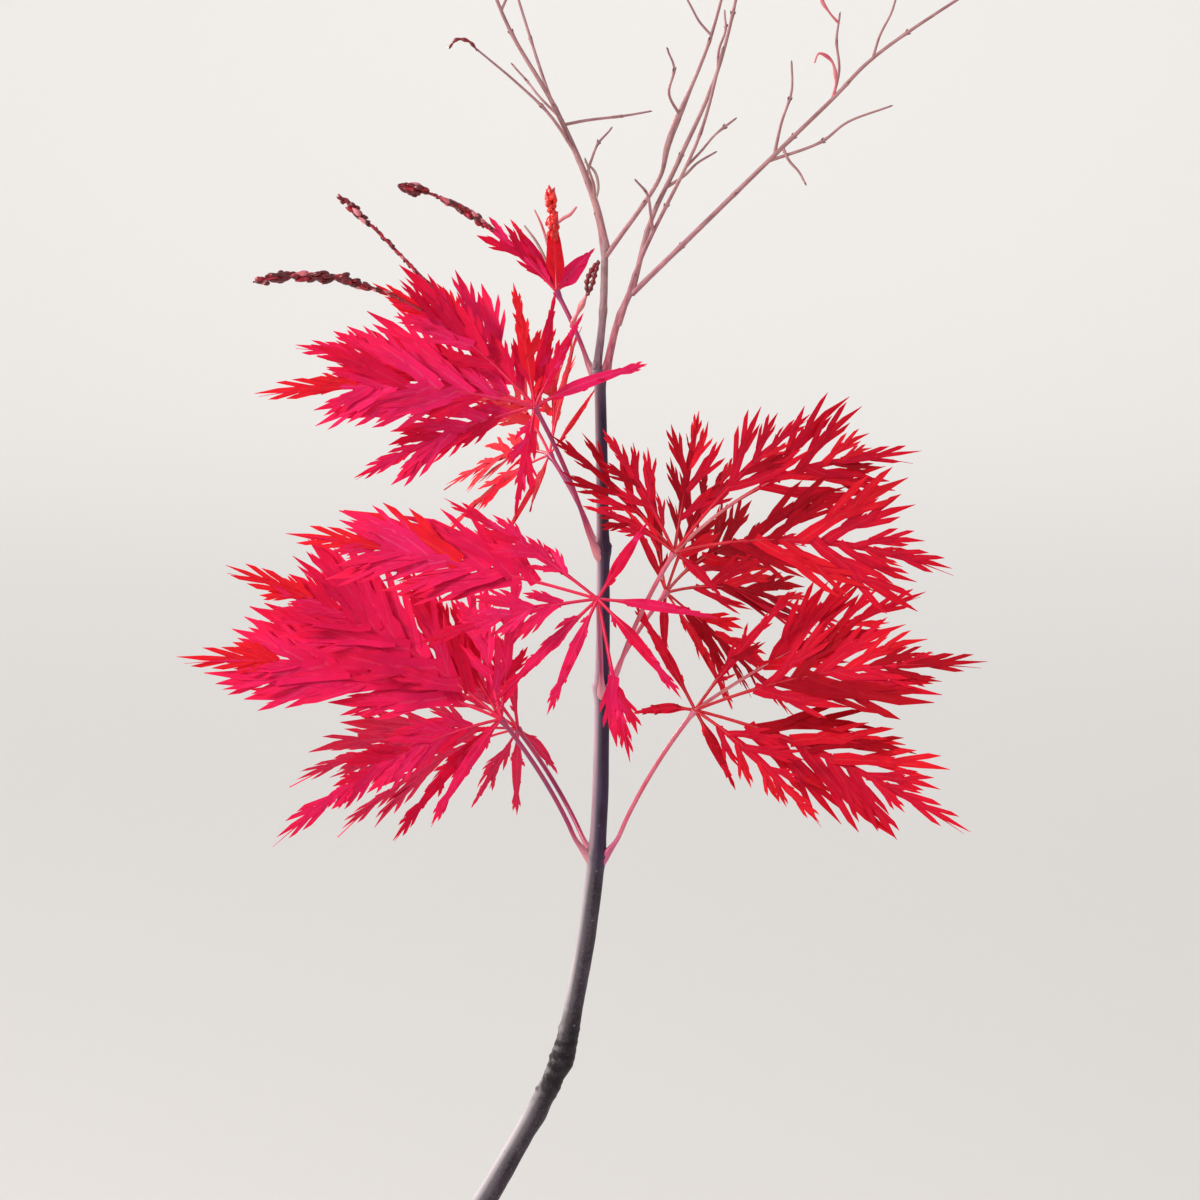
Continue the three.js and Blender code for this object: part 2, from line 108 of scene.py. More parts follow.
# Stem: a leaning foot of old wood, then a straight shoot
NODE_HEIGHTS = [303, 343, 376, 417.5]
NODE_SWELL = 0.55
NODE_REACH = 2.2
FLARE_RADIUS = 4.5
FLARE_HEIGHT = 7.5
ROOT_RIDGES = 5
ROOT_RIDGE_DEPTH = 0.28
CLEAR = 0.3
STEM_LINE = [
    [-1.5, 0, SOIL_TOP + CLEAR], [-0.2, 0, 150], [9, 1, 187], [30.3, 2, 223], [45.4, 1, 252.5],
    [49.4, 0, 270], [54.2, 0, 303], [55.5, 0, 343], [55.7, 0, 376], [55, 0, 417.5],
]
STEM_RADII = [
    [SOIL_TOP, 4], [190, 3.1], [223, 2.7], [246, 2.4], [255, 2.7], [266, 2.25],
    [290, 2.25], [303, 2.05], [345, 1.75], [380, 1.45], [418, 1.3],
]
STEM_RINGS = 640
STEM_COLUMNS = 36
# The stem's top above its line, and the share of its radius there
DOME_RISE = [0.5, 0.9, 1.15]
DOME_SHARE = [0.93, 0.7, 0.4]
STEM_SINK = 2.5
# The heights between which the furrows of the old wood fade out
OLD_WOOD = (268, 306)
# Rings left by each year's bud scales, where the old wood bends up into the shoot
SCAR_LOW = 244.5
SCAR_HIGH = 261.5
SCAR_RINGS = 10
KNOB_RADIUS = 2.6
# Knobs on the bark: height, angle round the stem from its right side, reach and how far it stands out.
# Round the stem the reach is measured at the radius above.
KNOBS = [
    (239.5, 0.1, 2.6, 0.45), (246, 0.2, 2.0, 0.35), (252.6, 0.2, 2.8, 0.7), (244.8, 3.1, 0.7, 0.4),
    (253, 3.2, 0.6, 0.35), (260.5, 3.2, 0.6, 0.45), (204, 5.2, 2.0, 0.4), (171, 2.4, 2.4, 0.5),
]
# The heights between which the bark turns: to the shoot's, unevenly by up to so much, to the full painted
# highlight on the stem's left side, into and out of the scars, and to the fork's
SHOOT_RISE = (301, 316)
SHOOT_RAGGED = 14
PAINTED_HIGHLIGHT_RISE = (150, 212)
SCAR_RISE = (239, 247)
SCAR_FALL = (271, 258)
FORK_RISE = (408, 430)

# Boughs and bare twigs. A sprig is [share of the twig's length, then how far its tip lies along x, y and
# z].
BOUGHS = [
    ("bough_leader", 0.95, 0.8, [[54.2, 0.2, 417.8], [55.6, 0.1, 430], [56.2, 0, 448]]),
    ("bough_right", 0.9, 0.75, [[56.4, -0.4, 417.8], [59, -2, 429], [62.4, -3.4, 437.4]]),
]
BOUGH_COLUMNS = 14
BOUGH_NODE = 14
BOUGH_SINK = 1.6
Twig = namedtuple("Twig", "name foot seed line sprigs")
TWIGS = [
    Twig(
        "twigs_left", 0.72, 21,
        [[56.2, 0, 448.3], [53.9, 0.4, 457], [44.9, 3, 478], [33.6, 5, 497.5], [24.5, 7, 522]],
        [[0.12, -2, -3, 9], [0.26, -23, -2, 24], [0.35, 20, 6, 3], [0.72, 4, 7, 13]],
    ),
    Twig(
        "twigs_centre", 0.6, 22,
        [[57.6, -0.6, 446.2], [69, -4, 463], [70.8, -5, 470.5], [79.9, -8, 494], [86, -10, 518]],
        [[0.45, -3, -12, 15], [0.7, -6, -2, 9]],
    ),
    Twig(
        "twigs_upright", 0.68, 23,
        [[62.8, -3.5, 437.8], [66.8, -2.5, 453], [73.3, -0.5, 466.5], [82.2, 2, 487], [90, 5, 521]],
        [[0.27, 11.4, 4, 8], [0.6, 2, 11, 14]],
    ),
    Twig(
        "twigs_right", 0.68, 24,
        [[64.1, -4.1, 437.6], [74, -6, 447.5], [107.2, -10, 480], [117, -11, 490], [148, -14, 511]],
        [
            [0.37, 27.5, -3, 12.5], [0.385, 4, 1.5, 21], [0.41, 5, -4, -8],
            [0.55, 1.6, 1, 19], [0.665, 5.6, 1, 14.6],
        ],
    ),
    Twig(
        "twigs_back", 0.6, 25,
        [[56, 1.55, 443.6], [54, 12, 455], [42, 34, 484], [34, 43, 508]],
        [[0.3, 6, 14, 12], [0.55, -11, 7, 12]],
    ),
    Twig(
        "twigs_front", 0.6, 26,
        [[60, -3.8, 430.6], [64, -14, 444], [77, -33, 473], [82, -40, 492]],
        [[0.35, -4, -13, 12], [0.6, 11, -4, 11]],
    ),
]
TWIG_TIP = 0.3
SPRIG_FOOT = 0.42
SPRIG_TIP = 0.24
SPRIG_SWAY = 0.08
SPRIG_BENDS = [0.35, 0.7]
SPRIG_TO_TWIG = 0.8
TWIG_RING = 1.1
TWIG_COLUMNS = 10
TWIG_NODE_GAP = 19
TWIG_NODE_SWELL = 0.1
TWIG_NODE_REACH = 0.9
TWIG_SINK = 2.3
TWIG_KINK = 0.35
# The pale swollen length on the centre twig: the heights that it lies between and how far it stands out
CENTRE_SWELLING = (467, 481, 0.32)
BUD_LENGTH = 1.2
BUD_RADIUS = 0.21
BUD_SIDES = 7
BUD_TURN = 1.57
BUD_SPLAY = 0.42

# Leaves. node is the number of the stem's node that a leaf grows from. A lobe is [angle, length], 0 degrees
# level to the right and 90 up as the leaf's upper side is seen, and may have an arch of its own after them.
# bare is the share of a lobe's length before its first leaflets, spread the angle that they leave it at,
# reach the length of the longest as a share of the lobe's, full how broad they are, finer how many of the
# finer leaflets each has, and strap the half width of a short lobe. Some lobes of a leaf have their own,
# under the lobe's number: bares, reaches, straps, cut_shares (0 for a plain strap), cuts (how far the blade
# reaches), mains (which of the leaf's three tints it has), flames (the share of flame-red leaflets), and
# withered and crisp (a rolled or crumpled tip's sizes along it). pale lists the lobes with a pale rib, lit
# those whose last leaflets are flame-red, and skin is the set of finishes where it isn't the tint's.
FAN_NARROWING = 0.5
FAN_SHORTEST = 0.34


def fan(first, last, count, longest, lean):
    """Lobes spread evenly from the first angle to the last, the longest at the lean and shorter to both
    sides."""
    angles = [first + (last - first) * k / (count - 1) for k in range(count)]
    shares = [1 - FAN_NARROWING * abs((angle - lean) / 90) ** 1.5 for angle in angles]
    return [[angle, longest * max(share, FAN_SHORTEST)] for angle, share in zip(angles, shares)]


BACK_LEAF = dict(arch=0.12, bare=0.18, spread=29, reach=0.36, full=0.96, finer=3, strap=1.2)
LEAVES = [
    dict(
        name="leaf_low_left", node=0, tint="crimson", junction=[31.9, -8, 337], facing=[0.15, -0.88, 0.42],
        arch=0.08, bare=0.12, spread=27, reach=0.36, full=1.14, finer=4, strap=1.2,
        reaches={5: 0.22}, cut_shares={6: 0.12, 7: 0.05}, lit=[3, 4],
        lobes=[[80, 40], [102, 43], [119, 45], [151, 74], [168, 77], [209, 65], [227, 40], [235, 33]],
    ),
    dict(
        name="leaf_low_right", node=0, tint="scarlet", junction=[77.2, -9, 339.3], facing=[-0.1, -0.9, 0.42],
        arch=0.06, bare=0.2, spread=31, reach=0.38, full=0.8, finer=3, strap=1.1, bares={4: 0.28}, pale=[4],
        lobes=[[-62, 22], [-43, 43], [-24, 71], [8, 69], [29, 61], [51, 37], [121, 30], [187, 15]],
    ),
    dict(
        name="leaf_high_right", node=1, tint="scarlet", junction=[72.1, -17, 377.5],
        facing=[0.25, -0.95, 0.28], arch=0.08, bare=0.2, spread=33, reach=0.38, full=0.7, finer=3,
        strap=1.2, strapped=(12, 30), bares={2: 0.36, 3: 0.36}, pale=[2],
        lobes=[[-46, 16], [-8, 68], [17, 65, 0.14], [41, 46], [75, 35], [119, 32], [134, 38], [154, 24]],
    ),
    dict(
        name="leaf_front", node=1, tint="crimson", junction=[54.5, -34, 369], facing=[0.05, -0.85, 0.5],
        arch=0.03, bare=0.2, spread=28, reach=0.35, full=1.14, finer=4, strap=1.25,
        bares={6: 0.5}, cuts={6: 0.82}, flames={2: 0.05}, mains={0: 2, 7: 2, 8: 0},
        lobes=[
            [58, 23], [146, 41], [166, 74], [197, 43], [226, 35], [247, 32], [279, 48], [305, 31], [350, 28],
        ],
    ),
    dict(
        name="leaf_high_left", node=2, tint="crimson", junction=[40, -14, 410.8], facing=[0.1, -0.92, 0.35],
        arch=0.05, bare=0.14, spread=29, reach=0.37, full=1.14, finer=4, strap=1.3, strapped=(18, 36),
        reaches={4: 0.52, 5: 0.4, 7: 0.31, 8: 0.33}, cut_shares={0: 0, 2: 0.5, 3: 0.5},
        straps={2: 2.6, 3: 2.8}, flames={2: 0.4, 3: 0.7, 4: 0.45, 5: 0.2}, lit=[7],
        withered={
            4: [[0, 0.2], [0.4, 0.45], [0.72, 0.45], [0.82, 0.9], [1, 0.6]],
            5: [[0, 0.2], [0.3, 0.6], [0.45, 0.95], [0.9, 0.95], [1, 0.6]],
        },
        lobes=[
            [20, 29], [61, 25], [78, 28], [98, 29], [130, 68],
            [156, 70, 0.17], [165, 58], [179, 65], [202, 46], [258, 28],
        ],
    ),
    dict(
        name="leaf_top_left", node=3, tint="crimson", junction=[44.8, 9, 435.7], facing=[0.2, -0.85, 0.5],
        arch=0.05, bare=0.08, spread=22, reach=0.36, full=1.15, finer=2, strap=2.2, strapped=(20, 40),
        cut_shares={1: 0.4, 2: 0.5}, straps={1: 3.2, 2: 3.4}, cuts={1: 0.8, 2: 0.62},
        flames={1: 1, 2: 0.6, 3: 0.3},
        withered={3: [[0, 0.3], [0.15, 0.8], [0.5, 0.8], [0.58, 0.35], [0.72, 0.35], [0.8, 1.1], [1, 0.7]]},
        crisp={1: [[0, 0.9], [0.35, 1], [0.6, 0.6], [0.8, 1.05], [1, 0.6]]},
        lobes=[[47, 16], [88, 26], [114, 34], [143, 44, 0.13]],
    ),
    dict(
        BACK_LEAF, name="leaf_back_low", node=0, tint="crimson", junction=[35, 30, 328],
        facing=[-0.3, 0.8, 0.5], cuts={2: 0.6}, lobes=fan(-130, 75, 8, 60, -15),
    ),
    dict(
        BACK_LEAF, name="leaf_back_middle", node=1, tint="scarlet", junction=[71, 27, 362],
        facing=[0.55, -0.6, 0.5], lobes=fan(-115, 100, 8, 58, -5),
    ),
    # The high back leaf has the darker scarlet finishes and ruby on every lobe: painted shade against the rim
    # light that falls on it
    dict(
        BACK_LEAF, name="leaf_back_high", node=2, tint="crimson", skin="scarlet", junction=[43, 22, 396],
        facing=[-0.75, -0.45, 0.5], mains=dict.fromkeys(range(8), 2), lobes=fan(75, 290, 8, 50, 175),
    ),
]
# The places of the underside and of the flame-red among a leaf's finishes
UNDERSIDE = 3
FLAME = 4
LOBE_LIFT = [-0.08, 0.2]
LOBE_SETTLE = 0.6
LEAFLET_LAST = 0.75
LEAFLETS_FEWEST = 3
LEAFLET_SHORTEST = 2.6
LIT_LEAFLETS = 3
# Lobes shorter than the first length are straps with small leaflets, and those past the second are fully
# cut. A leaf may have its own two lengths, as strapped.
STRAP_LENGTHS = (28, 52)
STRAP_ROWS = 20
TEETH = 2
TEETH_START = 0.28
TEETH_END = 0.74
# A tooth's two rows: their places along it, the edge's width there, and how many teeth it is drawn forward
TOOTH_PHASES = [0, 0.8]
TOOTH_WIDTHS = [0.8, 1.18]
TOOTH_DRAWS = [0, 0.3]
# Finer leaflets on the long leaflets: [share of the leaflet's length, side]
FINER = [[0.22, 1], [0.36, -1], [0.5, 1], [0.1, -1]]
FINER_LENGTH = 0.45
FINER_SPREAD = 24
FINER_FROM = 7.5
LEAFLET_THICKNESS = 0.34
PETIOLE_OUT = 0.28
PETIOLE_UP = 0.5
PETIOLE_RADIUS = 0.75
PETIOLE_RINGS = 64
PETIOLE_COLUMNS = 12
# A leaf stalk's first points: how far out from the stem's middle, and how far below its node
PETIOLE_CLASP = [(0.3, 4.6), (1.5, 1.2)]
# How far along a leaf stalk its foot's colour ends, and how far it is full
STALK_FOOT = (13, 5)
RIB_RINGS = 18
RIB_SIDES = 6
ROLL_START = 0.4
ROLL_BLADE = 0.6
ROLL_RADIUS = 1.12
ROLL_LUMPS = 90
ROLL_SIDES = 7
CRISP_START = 0.5

CURL_SIDES = 8
# Dried stalks and curls caught among the twigs: finish, radius, beads, and the points of a thin tube, from
# what it grows on
CURLS = [
    (2, 0.72, 2, [[48.2, 4.4, 427.6], [48.9, 4.1, 429.4], [50.8, 3.4, 433.1], [52.3, 2.8, 436.2]]),
    (0, 0.66, 6, [[52.1, 2.8, 435.2], [52, 2.6, 438.4], [53.2, 1.9, 441.4], [54.7, 1.2, 443.4]]),
    (0, 0.62, 5, [[52.2, 2.7, 435.4], [53.2, 2, 437.8], [53.9, 1.5, 440.6], [54.8, 1.2, 443.2]]),
    (2, 0.34, 0, [[44.4, 14.9, 451], [46.3, 14.6, 452.6], [48, 14.3, 453.6], [49.5, 14, 455.4]]),
    (1, 0.26, 0, [[44.2, 10, 438.4], [42.9, 12, 441.5], [40.3, 13, 446.8], [37.2, 14, 451]]),
    (2, 0.24, 0, [[43.8, 11, 441], [43, 13, 445.2], [41.3, 14, 451], [39.6, 15, 454.6]]),
    (1, 0.26, 0, [[53.9, 0.4, 457], [54.6, -0.6, 460.5], [53.8, -1.2, 464], [51.5, -1.4, 466.3]]),
    (
        2, 0.42, 3,
        [
            [108.2, -10, 481], [108.7, -10.6, 485.2], [107.6, -11, 489.4],
            [104.8, -11.2, 491], [103.7, -11, 488.9],
        ],
    ),
    (
        2, 0.4, 2,
        [
            [109.4, -8.6, 497.8], [107.2, -9.4, 500.2], [105.4, -9.8, 503.4],
            [107.4, -9.6, 506], [109.2, -9, 504.4],
        ],
    ),
    (0, 0.45, 4, [[26.8, -0.3, 491.7], [24.8, 0.1, 493.8], [22, 0.5, 494.2], [20.2, 0.7, 492.2]]),
]


def wobble(seed, count):
    """A repeatable number from -1 to 1: twice the fraction of a large sine of the seed and the count, less
    one."""
    big = np.sin(seed * 12.9898 + count * 78.233) * 43758.5453
    return 2 * (big - np.floor(big)) - 1


def unit(ways):
    """Each way divided by its own length."""
    return ways / np.linalg.norm(ways, axis=-1, keepdims=True)


def smooth_step(value, low, high):
    """0 below low and 1 above high, and between them the cubic 3t^2 - 2t^3."""
    t = np.clip((value - low) / (high - low), 0, 1)
    return t * t * (3 - 2 * t)


def hump(off, reach):
    """A bell shape: e to the power of -(off / reach)^2, which is 1 where nothing is off."""
    return np.exp(-((off / reach) ** 2))


def circle(count):
    """Equal steps of angle round a full turn."""
    return TAU * np.arange(count) / count


def rumple(u, v, seed, around=None):
    """Smooth unevenness from -1 to 1: seeded numbers at whole places (u, v), blended by 3t^2 - 2t^3 between
    them. With around, the pattern repeats after that many places of u."""
    cell_u, cell_v = np.floor(u), np.floor(v)
    blend_u, blend_v = smooth_step(u - cell_u, 0, 1), smooth_step(v - cell_v, 0, 1)

    def at(step_u, step_v):
        column = cell_u + step_u
        if around:
            column = column % around
        return wobble(seed + 1.37 * column, cell_v + step_v)

    low = at(0, 0) * (1 - blend_u) + at(1, 0) * blend_u
    high = at(0, 1) * (1 - blend_u) + at(1, 1) * blend_u
    return low * (1 - blend_v) + high * blend_v


def lengths_along(points):
    """How far along a path each of its points lies."""
    return np.concatenate([[0], np.cumsum(np.linalg.norm(np.diff(points, axis=0), axis=1))])


def read_off(places, run, points):
    """Points at places along a path, between the points that it has at its run of lengths."""
    return np.stack([np.interp(places, run, column) for column in points.T], axis=-1)


def smooth_curve(line, shares):
    """Points at shares of the length of a smooth curve through a line's points. Between two points the
    curve is the cubic that leaves and reaches them at the centripetal Catmull-Rom slopes."""
    line = np.asarray(line, float)
    ends = 2 * line[[0, -1]] - line[[1, -2]]
    a, b, c, d = (np.vstack([ends[:1], line, ends[1:]])[k : k + len(line) - 1] for k in range(4))
    steps = ((a, b), (b, c), (c, d))
    before, between, after = (np.linalg.norm(q - p, axis=1, keepdims=True) ** 0.5 for p, q in steps)
    leave = between * ((b - a) / before - (c - a) / (before + between) + (c - b) / between)
    reach = between * ((c - b) / between - (d - b) / (between + after) + (d - c) / after)
    u = np.linspace(0, 1, CURVE_STEPS, endpoint=False)[:, None, None]
    cubic = b + u * leave + u**2 * (3 * (c - b) - 2 * leave - reach) + u**3 * (2 * (b - c) + leave + reach)
    points = np.vstack([cubic.transpose(1, 0, 2).reshape(-1, 3), line[-1:]])
    run = lengths_along(points)
    return read_off(np.asarray(shares) * run[-1], run, points)


def ways_along(points, hint):
    """Three ways at each point of a path: ahead along it, across which is the hint made square to that, and
    up which is ahead crossed with across."""
    ahead = unit(np.gradient(points, axis=0))
    across = unit(hint - (ahead @ hint)[:, None] * ahead)
    return ahead, across, np.cross(ahead, across)


# Corners, faces and finishes of a mesh in the making. A face is four corner numbers, the last -1 on a
# triangle. grain is each corner's place in the pattern: round and along a limb, or across and along a
# leaflet.
Shape = namedtuple("Shape", "corners faces finish grain")


def join(shapes):
    """One shape of many, with each one's corner numbers moved past those before it."""
    corners, faces, finish, grain = zip(*shapes)
    starts = np.cumsum([0] + [len(rows) for rows in corners])
    faces = [np.where(rows < 0, -1, rows + start) for rows, start in zip(faces, starts)]
    return Shape(np.vstack(corners), np.vstack(faces), np.concatenate(finish), np.vstack(grain))


def copied(faces, count, corners):
    """The same faces for each of many like shapes, with so many corners each."""
    starts = (np.arange(count) * corners)[:, None, None]
    return np.where(faces[None] < 0, -1, faces[None] + starts)


def ring_faces(rings, sides):
    """Four-cornered faces between neighbouring rings of corners, which run anticlockwise about the way
    ahead."""
    ring, side = np.meshgrid(np.arange(rings - 1), np.arange(sides), indexing="ij")
    a, b = ring * sides + side, ring * sides + (side + 1) % sides
    return np.stack([a, b, b + sides, a + sides], axis=-1).reshape(-1, 4)


def sleeves(rings, finish=0, grain=None):
    """Closed tubes from a table of tubes by rings by corners. Each end is closed by triangles to its
    middle."""
    count, rows, sides = rings.shape[:3]
    rings = rings.reshape(count, rows * sides, 3)
    poles = np.stack([rings[:, :sides].mean(1), rings[:, -sides:].mean(1)], axis=1)
    corners = np.concatenate([rings, poles], axis=1)
    side = np.arange(sides)
    following = (side + 1) % sides
    none = np.full(sides, -1)
    last = (rows - 1) * sides
    first_end = np.stack([np.full(sides, rows * sides), following, side, none], axis=-1)
    last_end = np.stack([np.full(sides, rows * sides + 1), last + side, last + following, none], axis=-1)
    faces = copied(np.vstack([ring_faces(rows, sides), first_end, last_end]), count, rows * sides + 2)
    finish = np.broadcast_to(np.asarray(finish).reshape(-1, 1), faces.shape[:2])
    if grain is None:
        grain = corners * MM
    else:
        grain = grain.reshape(count, rows * sides, 3)
        grain = np.concatenate([grain, grain[:, :1], grain[:, -1:]], axis=1)
    return Shape(corners.reshape(-1, 3), faces.reshape(-1, 4), finish.reshape(-1), grain.reshape(-1, 3))


def tube(points, radius, sides, finish=0, hint=(1.0, 0.0, 0.0)):
    """A closed round tube along a path. Corner k of a ring lies at its point plus across times r cos a plus
    up times r sin a, where a is k turns over the sides. Its grain is the tube as if straight."""
    _, across, up = ways_along(points, np.asarray(hint, float))
    angle = circle(sides)
    radius = np.broadcast_to(np.asarray(radius, float).reshape(len(points), -1), (len(points), sides))
    level, rise = radius * np.cos(angle), radius * np.sin(angle)
    rings = points[:, None] + level[..., None] * across[:, None] + rise[..., None] * up[:, None]
    along = np.broadcast_to(lengths_along(points)[:, None], radius.shape)
    grain = np.stack([level, rise, along], axis=-1) * MM
    return sleeves(rings[None], finish, grain[None])


def lenses(left, right, middle, out, finish, along):
    """Closed strips with a lens section, from tables of strips by rows. Each row has four corners: left
    edge, top, right edge and bottom, with the top out from the middle and the bottom as far the other way.
    Triangles are cut from the middle line to the next row's edge, which suits drawn teeth. The grain is 1
    on the middle line and 0 at the edges, then the share along."""
    count, rows = left.shape[:2]
    corners = np.stack([left, middle + out, right, middle - out], axis=2)
    row = 4 * np.arange(rows - 1)[:, None]
    pieces = []
    for edge, ridge, flip in ((0, 1, False), (2, 1, True), (2, 3, False), (0, 3, True)):
        e, m, next_e, next_m = row + edge, row + ridge, row + 4 + edge, row + 4 + ridge
        for triangle in ((e, m, next_e), (m, next_m, next_e)):
            a, b, c = triangle[::-1] if flip else triangle
            pieces.append(np.hstack([a, b, c, np.full_like(a, -1)]))
    upper, lower = np.vstack(pieces[:4]), np.vstack(pieces[4:])
    last = 4 * (rows - 1)
    ends = np.array([[3, 2, 1, 0], [last, last + 1, last + 2, last + 3]])
    faces = copied(np.vstack([upper, ends, lower]), count, rows * 4)
    above = np.broadcast_to(np.asarray(finish).reshape(-1, 1), (count, len(upper) + 2))
    below = np.full((count, len(lower)), UNDERSIDE)
    ridges = np.broadcast_to([0.0, 1.0, 0.0, 1.0], (count, rows, 4))
    along = np.broadcast_to(along[None, :, None], (count, rows, 4))
    grain = np.stack([ridges, along, 0 * along], axis=-1).reshape(-1, 3)
    return Shape(corners.reshape(-1, 3), faces.reshape(-1, 4), np.hstack([above, below]).reshape(-1), grain)


def make_piece(name, shape, finishes, nodes, sharp=SHARP_ANGLE):
    """Puts a shape into a mesh at the origin, which rides on the plant and stands for the CAD nodes."""
    mesh = bpy.data.meshes.new(name)
    mesh.vertices.add(len(shape.corners))
    mesh.vertices.foreach_set("co", (shape.corners * MM).ravel())
    present = shape.faces >= 0
    sizes = present.sum(axis=1)
    mesh.loops.add(int(sizes.sum()))
    mesh.loops.foreach_set("vertex_index", shape.faces[present])
    mesh.polygons.add(len(sizes))
    mesh.polygons.foreach_set("loop_start", np.cumsum(sizes) - sizes)
    mesh.polygons.foreach_set("material_index", np.ascontiguousarray(shape.finish, dtype=np.int32))
    mesh.update(calc_edges=True)
    grain = mesh.attributes.new("grain", "FLOAT_VECTOR", "POINT")
    grain.data.foreach_set("vector", shape.grain.ravel())
    for finish in finishes:
        mesh.materials.append(finish)
    mesh.shade_smooth()
    mesh.set_sharp_from_angle(angle=math.radians(sharp))
    piece = add_object(name, mesh)
    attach(piece, "root")
    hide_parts(*nodes)
    return piece


def add_object(name, data):
    """An object for a mesh, a light or a camera, in the scene."""
    item = bpy.data.objects.new(name, data)
    bpy.context.scene.collection.objects.link(item)
    return item


def linear(hex_colour):
    """An sRGB hex colour as linear numbers: c/12.92 when dark, and ((c + 0.055)/1.055)^2.4 otherwise."""
    values = [int(hex_colour[k : k + 2], 16) / 255 for k in (0, 2, 4)]
    return tuple(v / 12.92 if v <= 0.04045 else ((v + 0.055) / 1.055) ** 2.4 for v in values)


def scale_of(size):
    """A pattern's scale on Object coordinates, for marks of a size in millimetres."""
    return 1 / (size * MM)


def metres(*sizes):
    """Sizes in millimetres as metres, which the materials' heights are in."""
    return [size * MM for size in sizes]


# What a Mix node needs to mix two colours, its inputs 6 and 7, by its input 0
COLOURS = {"data_type": "RGBA", "output": 2}


def add_node(tree, kind, inputs=(), output=0, **settings):
    """Adds one node with its own settings, and returns one of its outputs. inputs are values, hex colours
    or other nodes' outputs, in the order of the sockets, or under their names or numbers."""
    node = tree.nodes.new("ShaderNode" + kind)
    for key, value in settings.items():
        setattr(node, key, value)
    for key, value in inputs.items() if isinstance(inputs, dict) else enumerate(inputs):
        socket = node.inputs[key]
        if isinstance(value, bpy.types.NodeSocket):
            tree.links.new(value, socket)
        elif socket.type == "RGBA":
            socket.default_value = (*(linear(value) if isinstance(value, str) else value), 1)
        else:
            socket.default_value = value
    return node.outputs[output]


def new_material(name, **values):
    """A material with only a Principled shader, whose uniform values are set on its own sockets."""
    material = bpy.data.materials.new(name)
    material.use_nodes = True
    tree = material.node_tree
    for socket, value in values.items():
        tree.nodes["Principled BSDF"].inputs[socket.replace("_", " ")].default_value = value
    return material, tree


def finished(material, colour, relief, strength, depth):
    """The material once its colour is linked, and its relief as a bump of a depth in millimetres."""
    tree = material.node_tree
    shader = tree.nodes["Principled BSDF"]
    tree.links.new(colour, shader.inputs["Base Color"])
    bump = add_node(tree, "Bump", {"Height": relief, "Strength": strength, "Distance": depth * MM})
    tree.links.new(bump, shader.inputs["Normal"])
    return material


def drawn_streaks(tree, place, stretch, size, detail, roughness=0.5):
    """Uneven streaks of a size across, drawn out along Z to that size divided by the stretch."""
    drawn = add_node(tree, "Mapping", {"Vector": place, "Scale": (1, 1, stretch)})
    marks = {"Vector": drawn, "Scale": scale_of(size), "Detail": detail, "Roughness": roughness}
    return add_node(tree, "TexNoise", marks)


def terracotta(pot):
    """Fired unglazed earthenware: dull orange-brown clay, a chalky bloom of lime where water has dried on
    the rim and the lower wall, and a fine sandy tooth."""
    material, tree = new_material("terracotta", Roughness=0.88)
    place = add_node(tree, "TexCoord", output="Object")
    height = add_node(tree, "SeparateXYZ", [place], "Z")
    cloud = add_node(tree, "TexNoise", {"Vector": place, "Scale": scale_of(38), "Detail": 6})
    streak = drawn_streaks(tree, place, 0.35, 16, 10, 0.65)
    sand = add_node(tree, "TexNoise", {"Vector": place, "Scale": scale_of(0.9), "Detail": 3})
    pale = add_node(tree, "MapRange", [sand, 0.55, 0.75, 0, 0.35])
    low = add_node(tree, "MapRange", [height, *metres(*LIME_LOW)])
    band = add_node(tree, "MapRange", [height, *metres(*LIME_BAND)])
    lime = add_node(tree, "Math", [low, band], operation="MAXIMUM")
    uneven = add_node(tree, "MapRange", [streak, 0.38, 0.8])
    for share in (uneven, pot.lime):
        lime = add_node(tree, "Math", [lime, share], operation="MULTIPLY")
    colour = pot.clay_colour
    for share, coat in ((cloud, "8e4c34"), (pale, "d39a78"), (lime, "d9c4b2")):
        colour = add_node(tree, "Mix", {0: share, 6: colour, 7: coat}, **COLOURS)
    return finished(material, colour, sand, 0.35, 0.25)


def grainy(name, colour, second, mark, roughness=0.9, depth=0.3):
    """A dry broken surface such as potting mix, bark chip or grit: two tones in patches and a crumbly
    relief."""
    material, tree = new_material(name, Roughness=roughness)
    place = add_node(tree, "TexCoord", output="Object")
    patch = add_node(tree, "TexNoise", {"Vector": place, "Scale": scale_of(mark), "Detail": 8})
    spread = add_node(tree, "MapRange", [patch, 0.35, 0.65])
    colour = add_node(tree, "Mix", {0: spread, 6: colour, 7: second}, **COLOURS)
    return finished(material, colour, patch, 0.8, depth)


